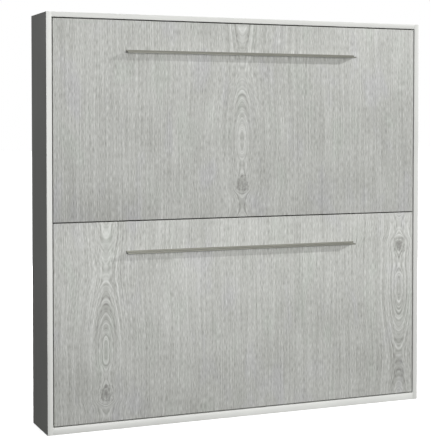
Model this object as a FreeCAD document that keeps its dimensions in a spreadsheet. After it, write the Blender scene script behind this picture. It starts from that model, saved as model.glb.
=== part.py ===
"""Horizontal bunk wall bed: two single beds that fold up, one above the other, in one shallow cabinet.

Frame: +Z up, +X along the cabinet's width, the doors face -Y. The origin is the middle of the
cabinet's footprint on the floor. Each sub-part is drawn with y counted back from the cabinet's
front plane. Cabinet pieces count z from the floor, and bed pieces from their own door's lower edge.
"""
import os

import FreeCAD
import Part
import Sketcher

Vector = FreeCAD.Vector
doc = FreeCAD.newDocument("wall_bed")

# ---------------------------------------------------------------- driving dimensions, millimetres
SIZES = {
    # mattresses: the cabinet and the bed frames are built round them
    "mattress_length": 2000, "mattress_width": 900, "mattress_thickness": 150,
    "mattress_rise": 60, "mattress_lift": 0.4, "mattress_corner_radius": 30,
    "strap_width": 50, "strap_thickness": 2, "strap_play": 0.6, "strap_tab": 8,
    # cabinet
    "side_thickness": 28, "top_thickness": 25, "bottom_thickness": 38, "shelf_thickness": 25,
    "back_thickness": 8, "board_edge_radius": 1, "shelf_setback": 24, "swing_clearance": 16.59,
    "wall_rail_height": 100, "wall_rail_thickness": 18,
    "wall_hole_radius": 4.5, "wall_hole_spread": 1600, "wall_hole_rows": 50,
    "angle_leg": 40, "angle_thickness": 3, "angle_width": 60, "angle_inset": 110,
    "back_screw_head_radius": 4, "back_screw_head_depth": 2.5, "back_screw_edge": 12,
    "back_screw_radius": 1.8,
    # doors and their handles
    "door_gap": 6, "door_recess": 2, "door_thickness": 18, "door_edge_radius": 1, "door_overhang": 44.5,
    "handle_length": 1310, "handle_drop": 163, "handle_reach": 30, "handle_fin": 5,
    "handle_lip": 7, "handle_lip_depth": 3, "handle_leg_height": 14, "handle_leg": 3,
    "handle_screw_radius": 2.1, "handle_screw_head": 4.2, "handle_screw_head_height": 2.2,
    "handle_screw_inset": 30, "handle_screw_rise": 9.8,
    # bed frames
    "pivot_back": 40, "pivot_rise": 200, "side_clearance": 32,
    "rail_width": 28, "rail_depth": 40, "tube_wall": 2, "tube_corner_radius": 2.5,
    "frame_rise": 20, "frame_front_margin": 10, "frame_end_margin": 10,
    "door_screw_radius": 3, "door_screw_head": 4.2, "door_screw_head_height": 2, "door_screw_bite": 12,
    # slats
    "slat_width": 68, "slat_thickness": 8, "slat_end_margin": 60, "slat_inset": 8,
    "holder_wall": 2.2, "holder_play": 0.2, "holder_reach": 24, "holder_side": 4,
    # pivots, stops and catches
    "bracket_thickness": 5, "bracket_front": 22, "bracket_back": 70, "bracket_above": 70,
    "bracket_taper": 50,
    "pivot_pin_radius": 8, "pivot_play": 0.05, "pivot_pin_length": 33,
    "bush_wall": 3, "bush_flange": 6, "bush_flange_thickness": 1.5, "bush_depth": 12,
    "plate_thickness": 4, "plate_heel": 16, "plate_foot": 44, "plate_shoulder": 62, "plate_slope": 10,
    "plate_arm": 26, "plate_arm_flare": 8, "plate_arm_top": 30, "plate_tail": 25,
    "plate_screw_inset": 14, "plate_low_screw_drop": 10, "plate_top_screw_shift": 12,
    "plate_screw_radius": 2.5, "plate_screw_head": 5.5, "plate_screw_head_height": 1.2,
    "plate_screw_bite": 16,
    "stop_pin_radius": 7, "stop_pin_rise": 35, "stop_pin_length": 19,
    "buffer_length": 30, "buffer_height": 18, "buffer_width": 19, "buffer_play": 0.3,
    "catch_height": 60, "catch_depth": 34, "catch_width": 25, "catch_drop": 174.5,
    "strike_thickness": 1.5, "strike_width": 20, "catch_play": 0.3,
    # gas struts
    "anchor_back": 78, "anchor_rise": 214, "stud_back": 13.5, "stud_drop": 69.4,
    "stud_radius": 4, "stud_head_radius": 6.5, "stud_head_height": 1.5, "eye_radius": 7.5,
    "eye_width": 10, "strut_neck_radius": 4, "strut_neck_gap": 1, "eye_play": 0.05, "strut_play": 0.5,
    "strut_radius": 9, "strut_wall": 1.5, "strut_end_room": 20.7, "strut_neck": 11,
    "rod_radius": 4, "rod_play": 0.06, "guide_length": 9, "piston_length": 8, "piston_play": 0.2,
    "piston_standoff": 3,
    # guard rail of the upper bed
    "guard_end_gap": 60, "guard_ladder_gap": 460, "guard_height": 300, "guard_tube_radius": 11,
    "guard_upright_radius": 10, "guard_stand_off": 18, "guard_hinge_lift": 5.5,
    "guard_pin_radius": 5, "guard_pin_play": 0.05, "guard_post_width": 20,
    "guard_post_foot": 30, "guard_post_thickness": 8, "guard_post_inset": 150, "guard_post_play": 0.5,
    # ladder
    "ladder_length": 1250, "ladder_width": 360, "ladder_bottom": 420, "stile_width": 30,
    "stile_thickness": 20, "ladder_front_gap": 4, "ladder_back_gap": 4, "rung_radius": 8,
    "rung_pitch": 270, "rung_first": 170, "ladder_hook_reach": 33, "ladder_hook_thickness": 4,
    "ladder_hook_lip": 36, "ladder_hook_leg": 60, "ladder_foot_length": 25, "ladder_foot_wall": 2,
    "wall_hook_width": 40, "wall_hook_thickness": 3, "wall_hook_lip": 15, "wall_hook_spread": 800,
    "wall_hook_play": 0.5, "wall_hook_tail": 40,
}
SLAT_COUNT = 14
HANDLE_SCREW_COUNT = 6
DOOR_SCREW_COUNT = 5
BACK_SCREW_COUNT = 7
RUNG_COUNT = 4
STRAP_COUNT = 3
CROSS_RAIL_COUNT = 3

sheet = doc.addObject("Spreadsheet::Sheet", "Sizes")
for row, (alias, number) in enumerate(SIZES.items(), start=1):
    sheet.set(f"A{row}", alias)
    sheet.set(f"B{row}", str(number))
    sheet.setAlias(f"B{row}", alias)
doc.recompute()


def size(text):
    """Turn plain names into references to the sheet: size("door_gap * 2") gives "Sizes.door_gap * 2"."""
    words = sorted(SIZES, key=len, reverse=True)
    result, i = "", 0
    while i < len(text):
        ahead = next((w for w in words if text.startswith(w, i)), None)
        starts_word = i == 0 or not (text[i - 1].isalnum() or text[i - 1] in "_.")
        if ahead and starts_word:
            after = text[i + len(ahead):i + len(ahead) + 1]
            if not (after.isalnum() or after == "_"):
                result += "Sizes." + ahead
                i += len(ahead)
                continue
        result += text[i]
        i += 1
    return "(" + result + ")"


def number(text):
    """The present value of an expression, for a sketch's first guess and for choosing edges."""
    return float(sheet.evalExpression(text))


# ---------------------------------------------------------------- places that several pieces share
DOOR_BACK = size("door_recess + door_thickness")
FRAME_BACK = f"({DOOR_BACK} + {size('rail_depth')})"
SLAT_FRONT = f"({FRAME_BACK} + {size('holder_wall')})"
SLAT_BACK = f"({SLAT_FRONT} + {size('slat_thickness')})"
HOLDER_BACK = f"({SLAT_BACK} + {size('holder_play + holder_wall')})"
MATTRESS_FRONT = f"({HOLDER_BACK} + {size('mattress_lift')})"
MATTRESS_BACK = f"({MATTRESS_FRONT} + {size('mattress_thickness')})"
# the mattress's rear lower edge swings closest to the back panel
MATTRESS_SWING = (f"sqrt(({MATTRESS_BACK} - {size('pivot_back')}) ^ 2 + "
                  f"{size('pivot_rise - mattress_rise')} ^ 2)")
SWING_ROOM = f"({size('pivot_back')} + {MATTRESS_SWING} + {size('swing_clearance')})"
# the ladder hangs between the lower mattress's straps and the back panel
STRAP_BACK = f"({MATTRESS_BACK} + {size('strap_play + strap_thickness')})"
LADDER_DEPTH = size("ladder_front_gap + ladder_hook_reach + stile_thickness + ladder_back_gap")
LADDER_ROOM = f"({STRAP_BACK} + {LADDER_DEPTH})"
BACK_Y = f"max({SWING_ROOM}; {LADDER_ROOM})"
CABINET_DEPTH = f"({BACK_Y} + {size('back_thickness')})"
FRONT = f"(-{CABINET_DEPTH} / 2)"

FRAME_X = size("mattress_length / 2 + frame_end_margin")
INNER_X = f"({FRAME_X} + {size('side_clearance')})"
OUTER_X = f"({INNER_X} + {size('side_thickness')})"
DOOR_WIDTH = f"(2 * ({INNER_X} - {size('door_gap')}))"

MATTRESS_TOP = size("mattress_rise + mattress_width")
FRAME_TOP = f"({MATTRESS_TOP} + {size('frame_front_margin')})"
DOOR_HEIGHT = f"({FRAME_TOP} + {size('door_overhang')})"
INNER_TOP = f"({size('bottom_thickness + 3 * door_gap')} + 2 * {DOOR_HEIGHT})"
CABINET_HEIGHT = f"({INNER_TOP} + {size('top_thickness')})"
BED_BASE = {
    "lower": size("bottom_thickness + door_gap"),
    "upper": f"({size('bottom_thickness + 2 * door_gap')} + {DOOR_HEIGHT})",
}
SHELF_TOP = f"({BED_BASE['upper']} - {size('door_gap')})"

SLAT_PITCH = f"(2 * ({FRAME_X} - {size('slat_end_margin')}) / {SLAT_COUNT - 1})"
WIDE_PITCH = f"(4 * {SLAT_PITCH})"
BRACKET_X = f"({FRAME_X} + {size('bracket_thickness')})"
PLATE_X = f"({INNER_X} - {size('plate_thickness')})"
STRUT_X = f"(({BRACKET_X} + {PLATE_X}) / 2)"
STRUT_LOW_X = f"({STRUT_X} - {size('eye_width / 2')})"
BUSH_RADIUS = size("pivot_pin_radius + pivot_play + bush_wall")
STOP_DROP = size("pivot_rise - stop_pin_rise")
CATCH_RISE = f"({DOOR_HEIGHT} - {size('catch_drop + catch_height')})"
HANDLE_BASE = f"({DOOR_HEIGHT} - {size('handle_drop')})"
HANDLE_SCREW_Z = f"({HANDLE_BASE} + {size('handle_screw_rise')})"

# a strut's line with its bed folded up, and its length with the bed down, a quarter turn on
STRUT_ANGLE = size("atan2(anchor_back - stud_back; -(anchor_rise + stud_drop))")
STRUT_SPAN = size("sqrt((anchor_back - stud_back) ^ 2 + (anchor_rise + stud_drop) ^ 2)")
OPEN_SPAN = size("sqrt((anchor_back - stud_drop) ^ 2 + (anchor_rise - stud_back) ^ 2)")
STRUT_LENGTH = f"({OPEN_SPAN} - {size('strut_end_room')})"

GUARD_LEFT = f"(-({FRAME_X} - {size('guard_end_gap')}))"
GUARD_RIGHT = f"({FRAME_X} - {size('guard_ladder_gap')})"
GUARD_Y = f"({MATTRESS_BACK} + {size('guard_stand_off')})"
GUARD_HINGE = f"({FRAME_TOP} + {size('guard_hinge_lift')})"
GUARD_LOW = f"({GUARD_HINGE} - {size('guard_height')})"

LADDER_BACK = f"({BACK_Y} - {size('ladder_back_gap')})"
LADDER_FRONT = f"({LADDER_BACK} - {size('stile_thickness')})"
LADDER_TOP = size("ladder_bottom + ladder_width")
LADDER_END = size("ladder_length / 2")

# corners of a pivot plate, back and up from its pivot: a heel, an arm to the stop, an arm to the strut
PLATE_END = f"({STOP_DROP} + {size('plate_tail')})"
ARM_TOP = size("anchor_rise + plate_arm_top")
PLATE_OUTLINE = [
    (size("-plate_heel"), size("-plate_foot")), (size("plate_heel"), size("-plate_foot")),
    (PLATE_END, size("-plate_foot / 2")), (PLATE_END, size("plate_shoulder - plate_slope")),
    (size("anchor_back + plate_arm + plate_arm_flare"), size("plate_shoulder")),
    (size("anchor_back + plate_arm"), ARM_TOP),
    (size("anchor_back - plate_arm"), ARM_TOP), (size("-plate_heel"), size("plate_shoulder")),
]
# its screws: in the heel, either side of the stop, in the middle of the arm and beside the strut's stud
PLATE_SCREWS = [
    (size("plate_screw_inset - plate_heel"), size("plate_screw_inset - plate_foot")),
    (f"({STOP_DROP} - {size('plate_tail')})", size("-plate_low_screw_drop")),
    (f"({PLATE_END} - {size('plate_screw_inset')})",
     size("plate_shoulder - plate_slope - plate_screw_inset")),
    (size("anchor_back + plate_screw_inset"), size("(anchor_rise + plate_foot / 2) / 2")),
    (size("anchor_back - plate_top_screw_shift"), size("anchor_rise + plate_screw_inset")),
]


# ---------------------------------------------------------------- small builders
def bind(thing, **texts):
    """Bind properties to expressions; two underscores in a name stand for a dot."""
    for path, text in texts.items():
        thing.setExpression(path.replace("__", "."), text)


def new_body(label, base="0"):
    """A body whose own y starts at the cabinet's front plane and whose z starts at base."""
    body = doc.addObject("PartDesign::Body", label)
    body.Label = label
    body.AllowCompound = True
    bind(body, Placement__Base__y=FRONT, Placement__Base__z=base)
    return body


def origin_feature(body, role):
    """One of the body's own origin planes or axes."""
    return next(f for f in body.Origin.OriginFeatures if f.Role == role)


def new_sketch(body, role, offset="0"):
    """A sketch on one of the body's origin planes, moved along that plane's normal by offset."""
    sketch = body.newObject("Sketcher::SketchObject", body.Label + "_sketch")
    sketch.AttachmentSupport = [(origin_feature(body, role), "")]
    sketch.MapMode = "FlatFace"
    bind(sketch, AttachmentOffset__Base__z=offset)
    return sketch


def pin_down(sketch, geometry, point, u, v):
    """Fix a point of the sketch at (u, v) from its origin, both bound to expressions."""
    for kind, text in (("DistanceX", u), ("DistanceY", v)):
        index = sketch.addConstraint(Sketcher.Constraint(kind, -1, 1, geometry, point, number(text)))
        sketch.setExpression(f"Constraints[{index}]", text)


def outline(sketch, points):
    """A closed outline of straight edges through points, each a pair of expressions."""
    first = sketch.GeometryCount
    corners = [Vector(number(u), number(v), 0) for u, v in points]
    for i, corner in enumerate(corners):
        sketch.addGeometry(Part.LineSegment(corner, corners[(i + 1) % len(corners)]), False)
    for i, (u, v) in enumerate(points):
        following = (i + 1) % len(points)
        sketch.addConstraint(Sketcher.Constraint("Coincident", first + i, 2, first + following, 1))
        pin_down(sketch, first + i, 1, u, v)


def rectangle(sketch, u0, u1, v0, v1):
    """A rectangle between two pairs of expressions."""
    outline(sketch, [(u0, v0), (u1, v0), (u1, v1), (u0, v1)])


def circle(sketch, u, v, radius):
    """A circle whose centre and radius are expressions."""
    centre = Vector(number(u), number(v), 0)
    index = sketch.addGeometry(Part.Circle(centre, Vector(0, 0, 1), number(radius)), False)
    pin_down(sketch, index, 3, u, v)
    size_index = sketch.addConstraint(Sketcher.Constraint("Radius", index, number(radius)))
    sketch.setExpression(f"Constraints[{size_index}]", radius)


def pad(body, sketch, length, middle=False, backwards=False):
    """Extrude a sketch along its plane's normal."""
    feature = body.newObject("PartDesign::Pad", body.Label + "_pad")
    feature.Profile = sketch
    feature.Midplane = middle
    feature.Reversed = backwards
    bind(feature, Length=length)
    body.Tip = feature
    doc.recompute()
    return feature


def pocket(body, sketch, depth=None, forwards=False):
    """Cut a sketch into the body: right through it, or to a depth against or along the normal."""
    before = body.Shape.Volume
    feature = body.newObject("PartDesign::Pocket", body.Label + "_pocket")
    feature.Profile = sketch
    if depth is None:
        feature.Type = 1
        feature.Midplane = True
    else:
        feature.Reversed = forwards
        bind(feature, Length=depth)
    body.Tip = feature
    doc.recompute()
    if not body.Shape.Volume < before - 0.01:
        raise RuntimeError(f"a pocket of {body.Label} cuts nothing")
    return feature


def mirror_across(body, features):
    """Repeat features on the other side of the cabinet's middle."""
    feature = body.newObject("PartDesign::Mirrored", body.Label + "_mirror")
    feature.Originals = features
    feature.MirrorPlane = (origin_feature(body, "YZ_Plane"), [""])
    body.Tip = feature
    doc.recompute()
    return feature


def repeat_along(body, features, role, length, count):
    """Repeat features at an even pitch over a length along one of the body's axes."""
    feature = body.newObject("PartDesign::LinearPattern", body.Label + "_pattern")
    feature.Originals = features
    feature.Direction = (origin_feature(body, role), [""])
    feature.Occurrences = count
    bind(feature, Length=length)
    body.Tip = feature
    doc.recompute()
    return feature


def round_edges(body, radius, wanted):
    """Round the edges that wanted picks from their middle point and direction."""
    base, names = body.Tip, []
    for i, edge in enumerate(base.Shape.Edges, start=1):
        if edge.Curve.TypeId != "Part::GeomLine":
            continue
        first, last = edge.Vertexes[0].Point, edge.Vertexes[-1].Point
        if wanted((first + last) / 2, (last - first).normalize()):
            names.append(f"Edge{i}")
    feature = body.newObject("PartDesign::Fillet", body.Label + "_round")
    feature.Base = (base, names)
    bind(feature, Radius=radius)
    body.Tip = feature
    doc.recompute()
    return feature


def along(axis):
    """A test for round_edges: the edges that run along one axis."""
    return lambda middle, direction: abs(direction[axis]) > 0.99


def every_edge(middle, direction):
    """A test for round_edges: all straight edges."""
    return True


def spread(count, pitch):
    """Places of count things at an even pitch, centred on zero, as expressions."""
    return [f"({pitch} * {i - (count - 1) / 2})" for i in range(count)]


def tube_along_x(label, base, x0, x1, y0, y1, z0, z1):
    """A rectangular hollow tube that runs along x."""
    body = new_body(label, base)
    sketch = new_sketch(body, "YZ_Plane", x0)
    rectangle(sketch, y0, y1, z0, z1)
    wall = size("tube_wall")
    tube = pad(body, sketch, f"({x1} - {x0})")
    round_edges(body, size("tube_corner_radius"), along(0))
    inside = new_sketch(body, "YZ_Plane", x0)
    rectangle(inside, f"({y0} + {wall})", f"({y1} - {wall})", f"({z0} + {wall})", f"({z1} - {wall})")
    pocket(body, inside)
    return body


def upright_tubes(body, x0, x1, y0, y1, z0, z1):
    """A rectangular hollow tube that runs along z, as a pad whose sketch holds both outlines."""
    sketch = new_sketch(body, "XY_Plane", z0)
    wall = size("tube_wall")
    rectangle(sketch, x0, x1, y0, y1)
    rectangle(sketch, f"({x0} + {wall})", f"({x1} - {wall})", f"({y0} + {wall})", f"({y1} - {wall})")
    return pad(body, sketch, f"({z1} - {z0})")


# ---------------------------------------------------------------- cabinet
def pivot_places():
    """The (y, z) of both pivots, z from the floor."""
    return [(size("pivot_back"), f"({base} + {size('pivot_rise')})") for base in BED_BASE.values()]


def offset_places(offsets):
    """Places given back and up from each pivot, z from the floor."""
    return [(f"({y} + {dy})", f"({z} + {dz})") for y, z in pivot_places() for dy, dz in offsets]


def side_panel(label, right):
    """A full-height side board with the bores for the bushes and the plate screws in its inner face."""
    body = new_body(label)
    outer = OUTER_X if right else f"(-{OUTER_X})"
    inner = INNER_X if right else f"(-{INNER_X})"
    sketch = new_sketch(body, "YZ_Plane", outer)
    rectangle(sketch, "0", CABINET_DEPTH, "0", CABINET_HEIGHT)
    pad(body, sketch, size("side_thickness"), backwards=right)
    round_edges(body, size("board_edge_radius"), every_edge)
    seats = new_sketch(body, "YZ_Plane", inner)
    for y, z in pivot_places():
        circle(seats, y, z, BUSH_RADIUS)
    pocket(body, seats, size("bush_depth"), forwards=right)
    pilots = new_sketch(body, "YZ_Plane", inner)
    for y, z in offset_places(PLATE_SCREWS):
        circle(pilots, y, z, size("plate_screw_radius"))
    pocket(body, pilots, size("plate_screw_bite"), forwards=right)
    return body


def level_board(label, z0, z1, front, back):
    """A board between the two sides."""
    body = new_body(label)
    sketch = new_sketch(body, "YZ_Plane")
    rectangle(sketch, front, back, z0, z1)
    pad(body, sketch, f"(2 * {INNER_X})", middle=True)
    round_edges(body, size("board_edge_radius"), along(0))
    return body


def wall_holes():
    """Where the wall bolts pass the back rail and the back panel."""
    middle = f"({INNER_TOP} - {size('wall_rail_height / 2')})"
    return [(f"({x} * {size('wall_hole_spread / 2')})", f"({middle} + {z} * {size('wall_hole_rows / 2')})")
            for x in (-1, 1) for z in (-1, 1)]


def back_screw_places(z0, z1):
    """Two rows of screws along the upper and lower edges of a back panel."""
    pitch = f"(2 * ({INNER_X} - {size('4 * back_screw_edge')}) / {BACK_SCREW_COUNT - 1})"
    rows = (f"({z0} + {size('back_screw_edge')})", f"({z1} - {size('back_screw_edge')})")
    return [(x, z) for z in rows for x in spread(BACK_SCREW_COUNT, pitch)]


LOWER_BACK = ("0", f"({SHELF_TOP} - {size('shelf_thickness / 2')})")
UPPER_BACK = (f"({SHELF_TOP} - {size('shelf_thickness / 2')})", CABINET_HEIGHT)


def back_panel(label, z0, z1, bolt_holes):
    """A thin panel behind the boards, between the sides, with seats for its screws."""
    body = new_body(label)
    sketch = new_sketch(body, "XZ_Plane", f"(-{BACK_Y})")
    rectangle(sketch, f"(-{INNER_X})", INNER_X, z0, z1)
    for x, z in back_screw_places(z0, z1):
        circle(sketch, x, z, size("back_screw_radius"))
    if bolt_holes:
        for x, z in wall_holes():
            circle(sketch, x, z, size("wall_hole_radius"))
    pad(body, sketch, size("back_thickness"), backwards=True)
    seats = new_sketch(body, "XZ_Plane", f"(-{CABINET_DEPTH})")
    for x, z in back_screw_places(z0, z1):
        circle(seats, x, z, size("back_screw_head_radius"))
    pocket(body, seats, size("back_screw_head_depth"), forwards=True)
    return body


def back_panel_screws():
    """Flush screws of both back panels."""
    body = new_body("back_panel_screws")
    places = back_screw_places(*LOWER_BACK) + back_screw_places(*UPPER_BACK)
    for radius, length in (("back_screw_head_radius", "back_screw_head_depth"),
                           ("back_screw_radius", "back_thickness")):
        sketch = new_sketch(body, "XZ_Plane", f"(-{CABINET_DEPTH})")
        for x, z in places:
            circle(sketch, x, z, size(radius))
        pad(body, sketch, size(length))
    return body


def wall_rail():
    """The board under the top panel that carries the wall bolts."""
    body = new_body("wall_rail")
    sketch = new_sketch(body, "XZ_Plane", f"(-{BACK_Y})")
    rectangle(sketch, f"(-{INNER_X})", INNER_X, f"({INNER_TOP} - {size('wall_rail_height')})", INNER_TOP)
    for x, z in wall_holes():
        circle(sketch, x, z, size("wall_hole_radius"))
    pad(body, sketch, size("wall_rail_thickness"))
    return body


def corner_angles():
    """Steel angles that tie the boards to the sides, behind the beds' travel."""
    body = new_body("corner_angles")
    leg, wall = size("angle_leg"), size("angle_thickness")
    seats = [(size("bottom_thickness"), 1), (INNER_TOP, -1), (SHELF_TOP, 1)]
    made = []
    for z, up in seats:
        sketch = new_sketch(body, "XZ_Plane", f"({size('angle_inset')} - {CABINET_DEPTH})")
        outline(sketch, [
            (INNER_X, z), (f"({INNER_X} - {leg})", z),
            (f"({INNER_X} - {leg})", f"({z} + {up} * {wall})"),
            (f"({INNER_X} - {wall})", f"({z} + {up} * {wall})"),
            (f"({INNER_X} - {wall})", f"({z} + {up} * {leg})"), (INNER_X, f"({z} + {up} * {leg})")])
        made.append(pad(body, sketch, size("angle_width"), backwards=True))
    mirror_across(body, made)
    return body


def pivot_plates():
    """Steel plates on both sides that carry the bushes, the strut studs and the open stops."""
    body = new_body("pivot_plates")
    made = []
    for y, z in pivot_places():
        sketch = new_sketch(body, "YZ_Plane", PLATE_X)
        outline(sketch, [(f"({y} + {dy})", f"({z} + {dz})") for dy, dz in PLATE_OUTLINE])
        circle(sketch, y, z, BUSH_RADIUS)
        for dy, dz in PLATE_SCREWS:
            circle(sketch, f"({y} + {dy})", f"({z} + {dz})", size("plate_screw_radius"))
        made.append(pad(body, sketch, size("plate_thickness")))
    mirror_across(body, made)
    return body


def plate_screws():
    """Pan-head screws of the pivot plates."""
    body = new_body("plate_screws")
    heads = new_sketch(body, "YZ_Plane", PLATE_X)
    shanks = new_sketch(body, "YZ_Plane", PLATE_X)
    for y, z in offset_places(PLATE_SCREWS):
        circle(heads, y, z, size("plate_screw_head"))
        circle(shanks, y, z, size("plate_screw_radius"))
    made = [pad(body, heads, size("plate_screw_head_height"), backwards=True)]
    made.append(pad(body, shanks, size("plate_thickness + plate_screw_bite")))
    mirror_across(body, made)
    return body


def pivot_bushes():
    """Flanged plastic bushes in the side boards, in which the beds turn."""
    body = new_body("pivot_bushes")
    bore = size("pivot_pin_radius + pivot_play")
    made = []
    for y, z in pivot_places():
        flange = new_sketch(body, "YZ_Plane", PLATE_X)
        circle(flange, y, z, f"({BUSH_RADIUS} + {size('bush_flange')})")
        circle(flange, y, z, bore)
        made.append(pad(body, flange, size("bush_flange_thickness"), backwards=True))
        barrel = new_sketch(body, "YZ_Plane", PLATE_X)
        circle(barrel, y, z, BUSH_RADIUS)
        circle(barrel, y, z, bore)
        made.append(pad(body, barrel, size("plate_thickness + bush_depth")))
    mirror_across(body, made)
    return body


def stop_buffers():
    """Rubber blocks that the stop pins meet when a bed is down."""
    body = new_body("stop_buffers")
    sketch = new_sketch(body, "YZ_Plane", PLATE_X)
    for y, z in pivot_places():
        middle = f"({y} + {STOP_DROP})"
        low = f"({z} + {size('stop_pin_radius + buffer_play')})"
        rectangle(sketch, f"({middle} - {size('buffer_length / 2')})",
                  f"({middle} + {size('buffer_length / 2')})", low, f"({low} + {size('buffer_height')})")
    made = [pad(body, sketch, size("buffer_width"), backwards=True)]
    mirror_across(body, made)
    return body


def magnetic_catches():
    """Catches on the sides that each closed door leans on."""
    body = new_body("magnetic_catches")
    sketch = new_sketch(body, "YZ_Plane", INNER_X)
    front = f"({DOOR_BACK} + {size('strike_thickness + catch_play')})"
    for base in BED_BASE.values():
        low = f"({base} + {CATCH_RISE})"
        rectangle(sketch, front, f"({front} + {size('catch_depth')})", low,
                  f"({low} + {size('catch_height')})")
    made = [pad(body, sketch, size("catch_width"), backwards=True)]
    mirror_across(body, made)
    return body


def strut_anchor_studs():
    """Studs on the pivot plates that the gas struts turn on."""
    body = new_body("strut_anchor_studs")
    made = []
    for y, z in pivot_places():
        place = (f"({y} + {size('anchor_back')})", f"({z} + {size('anchor_rise')})")
        end = f"({STRUT_LOW_X} - {size('strut_play')})"
        shank = new_sketch(body, "YZ_Plane", end)
        circle(shank, *place, size("stud_radius"))
        made.append(pad(body, shank, f"({PLATE_X} - {end})"))
        head = new_sketch(body, "YZ_Plane", end)
        circle(head, *place, size("stud_head_radius"))
        made.append(pad(body, head, size("stud_head_height"), backwards=True))
    mirror_across(body, made)
    return body


def ladder_wall_hooks():
    """Two J-shaped hooks on the lower back panel, under the ladder's upper stile."""
    body = new_body("ladder_wall_hooks")
    wall = size("wall_hook_thickness")
    seat = f"({LADDER_TOP} - {size('stile_width')})"
    inner = f"({LADDER_FRONT} - {size('wall_hook_play')})"
    lip_top = f"({seat} + {size('wall_hook_lip')})"
    tail = f"({seat} - {size('wall_hook_tail')})"
    made = []
    for side in (-1, 1):
        middle = f"({side} * {size('wall_hook_spread / 2')} - {size('wall_hook_width / 2')})"
        sketch = new_sketch(body, "YZ_Plane", middle)
        outline(sketch, [
            (BACK_Y, tail), (BACK_Y, seat), (inner, seat), (inner, lip_top),
            (f"({inner} - {wall})", lip_top), (f"({inner} - {wall})", f"({seat} - {wall})"),
            (f"({BACK_Y} - {wall})", f"({seat} - {wall})"), (f"({BACK_Y} - {wall})", tail)])
        made.append(pad(body, sketch, size("wall_hook_width")))
    return body


# ---------------------------------------------------------------- one bed
def door_panel(name, base):
    """The door that is also the bed's underside, drilled for the handle's screws and its own."""
    body = new_body(f"{name}_door", base)
    sketch = new_sketch(body, "XZ_Plane", f"(-{DOOR_BACK})")
    rectangle(sketch, f"(-{DOOR_WIDTH} / 2)", f"({DOOR_WIDTH} / 2)", "0", DOOR_HEIGHT)
    pad(body, sketch, size("door_thickness"))
    round_edges(body, size("door_edge_radius"), every_edge)
    through = new_sketch(body, "XZ_Plane", f"(-{DOOR_BACK})")
    for x in handle_screw_places():
        circle(through, x, HANDLE_SCREW_Z, size("handle_screw_radius"))
    pocket(body, through)
    blind = new_sketch(body, "XZ_Plane", f"(-{DOOR_BACK})")
    for x, z in door_screw_places():
        circle(blind, x, z, size("door_screw_radius"))
    pocket(body, blind, size("door_screw_bite"), forwards=True)
    return body


def handle_screw_places():
    """Where the handle's screws stand along x."""
    pitch = f"({size('handle_length - 2 * handle_screw_inset')} / {HANDLE_SCREW_COUNT - 1})"
    return spread(HANDLE_SCREW_COUNT, pitch)


def door_screw_places():
    """Where the rails are screwed to the door: between slats, along both rails."""
    rows = (size("frame_rise + rail_width / 2"), f"({FRAME_TOP} - {size('rail_width / 2')})")
    return [(x, z) for z in rows for x in spread(DOOR_SCREW_COUNT, f"(2 * {SLAT_PITCH})")]


def handle(name, base):
    """A long extruded handle: a leg flat on the door, a thin fin that stands out, a lip at its front."""
    body = new_body(f"{name}_handle", base)
    sketch = new_sketch(body, "YZ_Plane")
    face = size("door_recess")
    leg = f"({face} - {size('handle_leg')})"
    front = f"({face} - {size('handle_reach')})"
    lip_back = f"({front} + {size('handle_lip_depth')})"
    fin_top = f"({HANDLE_BASE} + {size('handle_fin')})"
    drop = f"({HANDLE_BASE} - {size('handle_lip - handle_fin')})"
    outline(sketch, [
        (face, HANDLE_BASE), (face, f"({HANDLE_BASE} + {size('handle_leg_height')})"),
        (leg, f"({HANDLE_BASE} + {size('handle_leg_height')})"), (leg, fin_top), (front, fin_top),
        (front, drop), (lip_back, drop), (lip_back, HANDLE_BASE)])
    pad(body, sketch, size("handle_length"), middle=True)
    lip = number(lip_back) - 0.1
    round_edges(body, size("handle_lip_depth / 4"),
                lambda middle, direction: abs(direction.x) > 0.99 and middle.y < lip)
    return body


def door_fixings(name, base):
    """Screws through the door into the handle, and through the rails into the door."""
    body = new_body(f"{name}_door_fixings", base)
    heads = new_sketch(body, "XZ_Plane", f"(-{DOOR_BACK})")
    shanks = new_sketch(body, "XZ_Plane", f"(-{DOOR_BACK})")
    for x in handle_screw_places():
        circle(heads, x, HANDLE_SCREW_Z, size("handle_screw_head"))
        circle(shanks, x, HANDLE_SCREW_Z, size("handle_screw_radius"))
    pad(body, heads, size("handle_screw_head_height"), backwards=True)
    pad(body, shanks, size("door_thickness"))
    rail_heads = new_sketch(body, "XZ_Plane", f"(-{FRAME_BACK})")
    rail_shanks = new_sketch(body, "XZ_Plane", f"(-{FRAME_BACK})")
    for x, z in door_screw_places():
        circle(rail_heads, x, z, size("door_screw_head"))
        circle(rail_shanks, x, z, size("door_screw_radius"))
    pad(body, rail_heads, size("door_screw_head_height"), backwards=True)
    pad(body, rail_shanks, size("rail_depth + door_screw_bite"))
    return body


def long_rail(label, base, z0, z1):
    """One of the two long tubes of the bed frame, drilled for the door screws."""
    body = tube_along_x(label, base, f"(-{FRAME_X})", FRAME_X, DOOR_BACK, FRAME_BACK, z0, z1)
    holes = new_sketch(body, "XZ_Plane", f"(-{FRAME_BACK})")
    middle = f"(({z0} + {z1}) / 2)"
    for x in spread(DOOR_SCREW_COUNT, f"(2 * {SLAT_PITCH})"):
        circle(holes, x, middle, size("door_screw_radius"))
    pocket(body, holes)
    return body


RAIL_INNER = (size("frame_rise + rail_width"), f"({FRAME_TOP} - {size('rail_width')})")


def end_rails(name, base):
    """The two short tubes at the head and the foot."""
    body = new_body(f"{name}_end_rails", base)
    made = upright_tubes(body, f"({FRAME_X} - {size('rail_width')})", FRAME_X, DOOR_BACK, FRAME_BACK,
                         *RAIL_INNER)
    mirror_across(body, [made])
    return body


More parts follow.
